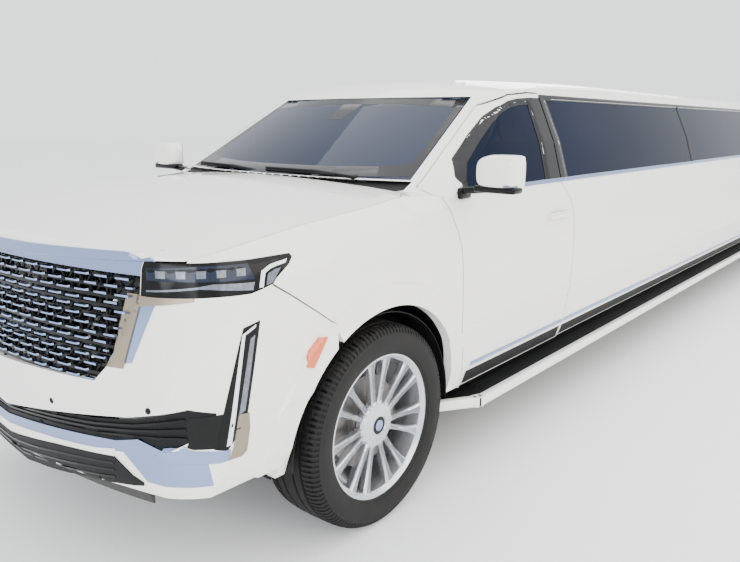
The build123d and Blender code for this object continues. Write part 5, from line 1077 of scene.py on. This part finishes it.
def cushion(form, size, centre, lean=0.0, channels=4, crown=0.018, turn=0.0):
    """Padded block, crowned, with sewn channels across its face; lean tips its top backwards."""
    turned = Matrix.Rotation(math.radians(turn), 4, "Z") @ Matrix.Rotation(math.radians(lean), 4, "X")
    place = Matrix.Translation((centre[0], aft(centre[1]), centre[2])) @ turned
    made = bmesh.ops.create_cube(form, size=1, matrix=Matrix.Diagonal((*size, 1)))["verts"]
    edges = list({e for v in made for e in v.link_edges})
    rounded = round_edges(form, edges, min(size) * 0.22, 3)
    faces = set(rounded["faces"]) | {f for v in made if v.is_valid for f in v.link_faces}
    verts = {v for f in faces for v in f.verts}
    faces = {f for v in verts for f in v.link_faces}
    parts = list(verts) + list({e for f in faces for e in f.edges}) + list(faces)
    for number in range(1, channels):
        cut = size[0] * (number / channels - 0.5)
        parts = bmesh.ops.bisect_plane(
            form, geom=parts, dist=CUT_LIMIT, plane_co=(cut, 0, 0), plane_no=(1, 0, 0))["geom"]
    faces = [p for p in parts if isinstance(p, bmesh.types.BMFace)]
    thin = 2 if size[2] < size[1] else 1
    channel_area = size[0] * max(size[1], size[2]) / channels
    broad = [f for f in faces if abs(f.normal[thin]) > 0.95 and f.calc_area() > 0.3 * channel_area]
    bmesh.ops.inset_individual(form, faces=broad, thickness=0.01, depth=0.0)
    bmesh.ops.inset_individual(form, faces=broad, thickness=0.022, depth=crown)
    island = {v for f in faces if f.is_valid for v in f.verts} | {v for f in broad for v in f.verts}
    reach = island | {other for v in island for f in v.link_faces for other in f.verts}
    bmesh.ops.transform(form, matrix=place, verts=list(reach))


def leather_seat(name, form, nodes):
    """Cushions as one padded piece, rounded off."""
    piece = finish_piece(name, form, seat_leather, "shell", nodes, sharp=60)
    round_off(piece, "stuffed")


def plinth(name, size, centre, offset=0.012):
    """Plain base under a seat."""
    finish_piece(name, rounded_block(bmesh.new(), size, centre, offset), cabin_plastic, "shell")


# Seats: crowned leather cushions with sewn channels, on the room that the plain solids hold.
for side, x in (("left", 0.4), ("right", -0.4)):
    seat = bmesh.new()
    cushion(seat, (0.5, 0.47, 0.15), (x, 1.405, 0.72), lean=4)
    cushion(seat, (0.48, 0.11, 0.56), (x, 1.715, 1.08), lean=-14)
    cushion(seat, (0.26, 0.09, 0.15), (x, 1.8, 1.325), lean=-8, channels=1)
    leather_seat(f"front_seat_{side}", seat, ("front_seats",))
    plinth(f"front_seat_plinth_{side}", (0.46, 0.44, 0.12), (x, 1.45, 0.585), 0.015)
bench = bmesh.new()
for number in range(5):
    back = 3.000 + 0.8 * number
    cushion(bench, (0.76, 0.4, 0.17), (-0.545, back, 0.81), turn=90)
    cushion(bench, (0.76, 0.09, 0.28), (-0.828, back, 1.03), turn=90)
leather_seat("saloon_bench", bench, ("saloon_seats",))
plinth("saloon_bench_plinth", (0.52, 3.98, 0.2), (-0.6, 4.6, 0.622))
rear_bench = bmesh.new()
for x in (-0.26, 0.26):
    cushion(rear_bench, (0.5, 0.44, 0.17), (x, 8.11, 0.9), lean=2)
    cushion(rear_bench, (0.5, 0.1, 0.43), (x, 8.43, 1.19), lean=-13)
leather_seat("rear_bench", rear_bench, ("saloon_seats",))
plinth("rear_bench_plinth", (1.000, 0.46, 0.07), (0.0, 8.12, 0.778))


def studio_light(name, place, target, size, power, colour):
    """Large soft lamp aimed at a point."""
    lamp = bpy.data.lights.new(name, "AREA")
    lamp.shape = "RECTANGLE"
    lamp.size, lamp.size_y = size
    lamp.energy = power
    lamp.color = linear(colour)[:3]
    holder = bpy.data.objects.new(name, lamp)
    holder.location = place
    holder.rotation_euler = (Vector(target) - Vector(place)).to_track_quat("-Z", "Y").to_euler()
    bpy.context.scene.collection.objects.link(holder)


# Studio: one large soft lamp above, three at the sides, a pale floor.
studio_light("overhead_softbox", (1.0, 0.0, 7.5), (0, 0, 0), (7, 15), 500, "#FFFFFF")
studio_light("front_softbox", (3.5, -12.0, 4.0), (0, -4.0, 0.8), (6, 3.5), 420, "#F4F8FF")
studio_light("side_softbox", (9.0, -2.0, 4.5), (0.5, -1.0, 0.8), (12, 4), 500, "#FFFAF0")
studio_light("rear_softbox", (-5.0, 11.0, 5.0), (0, 3.0, 0.8), (6, 4), 300, "#FFFFFF")

world = bpy.data.worlds.new("studio_room")
world.use_nodes = True
backdrop = world.node_tree.nodes["Background"]
backdrop.inputs["Color"].default_value = linear("#FAFCFF")
backdrop.inputs["Strength"].default_value = 1.9
bpy.context.scene.world = world

floor_form = bmesh.new()
bmesh.ops.create_grid(floor_form, x_segments=1, y_segments=1, size=60)
floor_mesh = bpy.data.meshes.new("studio_floor")
floor_form.to_mesh(floor_mesh)
floor_form.free()
floor = bpy.data.objects.new("studio_floor", floor_mesh)
bpy.context.scene.collection.objects.link(floor)
floor_paint = surface("matt_floor_paint", None, "#FBFBFA", 0.8)
mottle(floor_paint, 2500, "#FAFAF9", "#FDFDFC")
floor_mesh.materials.append(floor_paint)
floor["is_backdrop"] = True

# Camera, solved from the photograph; the lens is in millimetres of a 36 mm frame.
CAMERA_PLACE = Vector((2.6154, aft(-2.056), 1.5961))
FOCAL_LENGTH = 34.435
YAW, PITCH, ROLL = (math.radians(angle) for angle in (39.456, 12.625, 0.359))
ahead = Vector((-math.sin(YAW) * math.cos(PITCH), math.cos(YAW) * math.cos(PITCH), -math.sin(PITCH)))
level = ahead.cross(Vector((0, 0, 1))).normalized()
upward = level.cross(ahead)
across = level * math.cos(ROLL) + upward * math.sin(ROLL)
rise = upward * math.cos(ROLL) - level * math.sin(ROLL)
lens = bpy.data.cameras.new("photo_camera")
lens.lens = FOCAL_LENGTH
lens.sensor_width = 36
lens.clip_end = 200
camera = bpy.data.objects.new("photo_camera", lens)
camera.matrix_world = Matrix.Translation(CAMERA_PLACE) @ Matrix(
    (across, rise, -ahead)).transposed().to_4x4()
bpy.context.scene.collection.objects.link(camera)
bpy.context.scene.camera = camera

low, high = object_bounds()
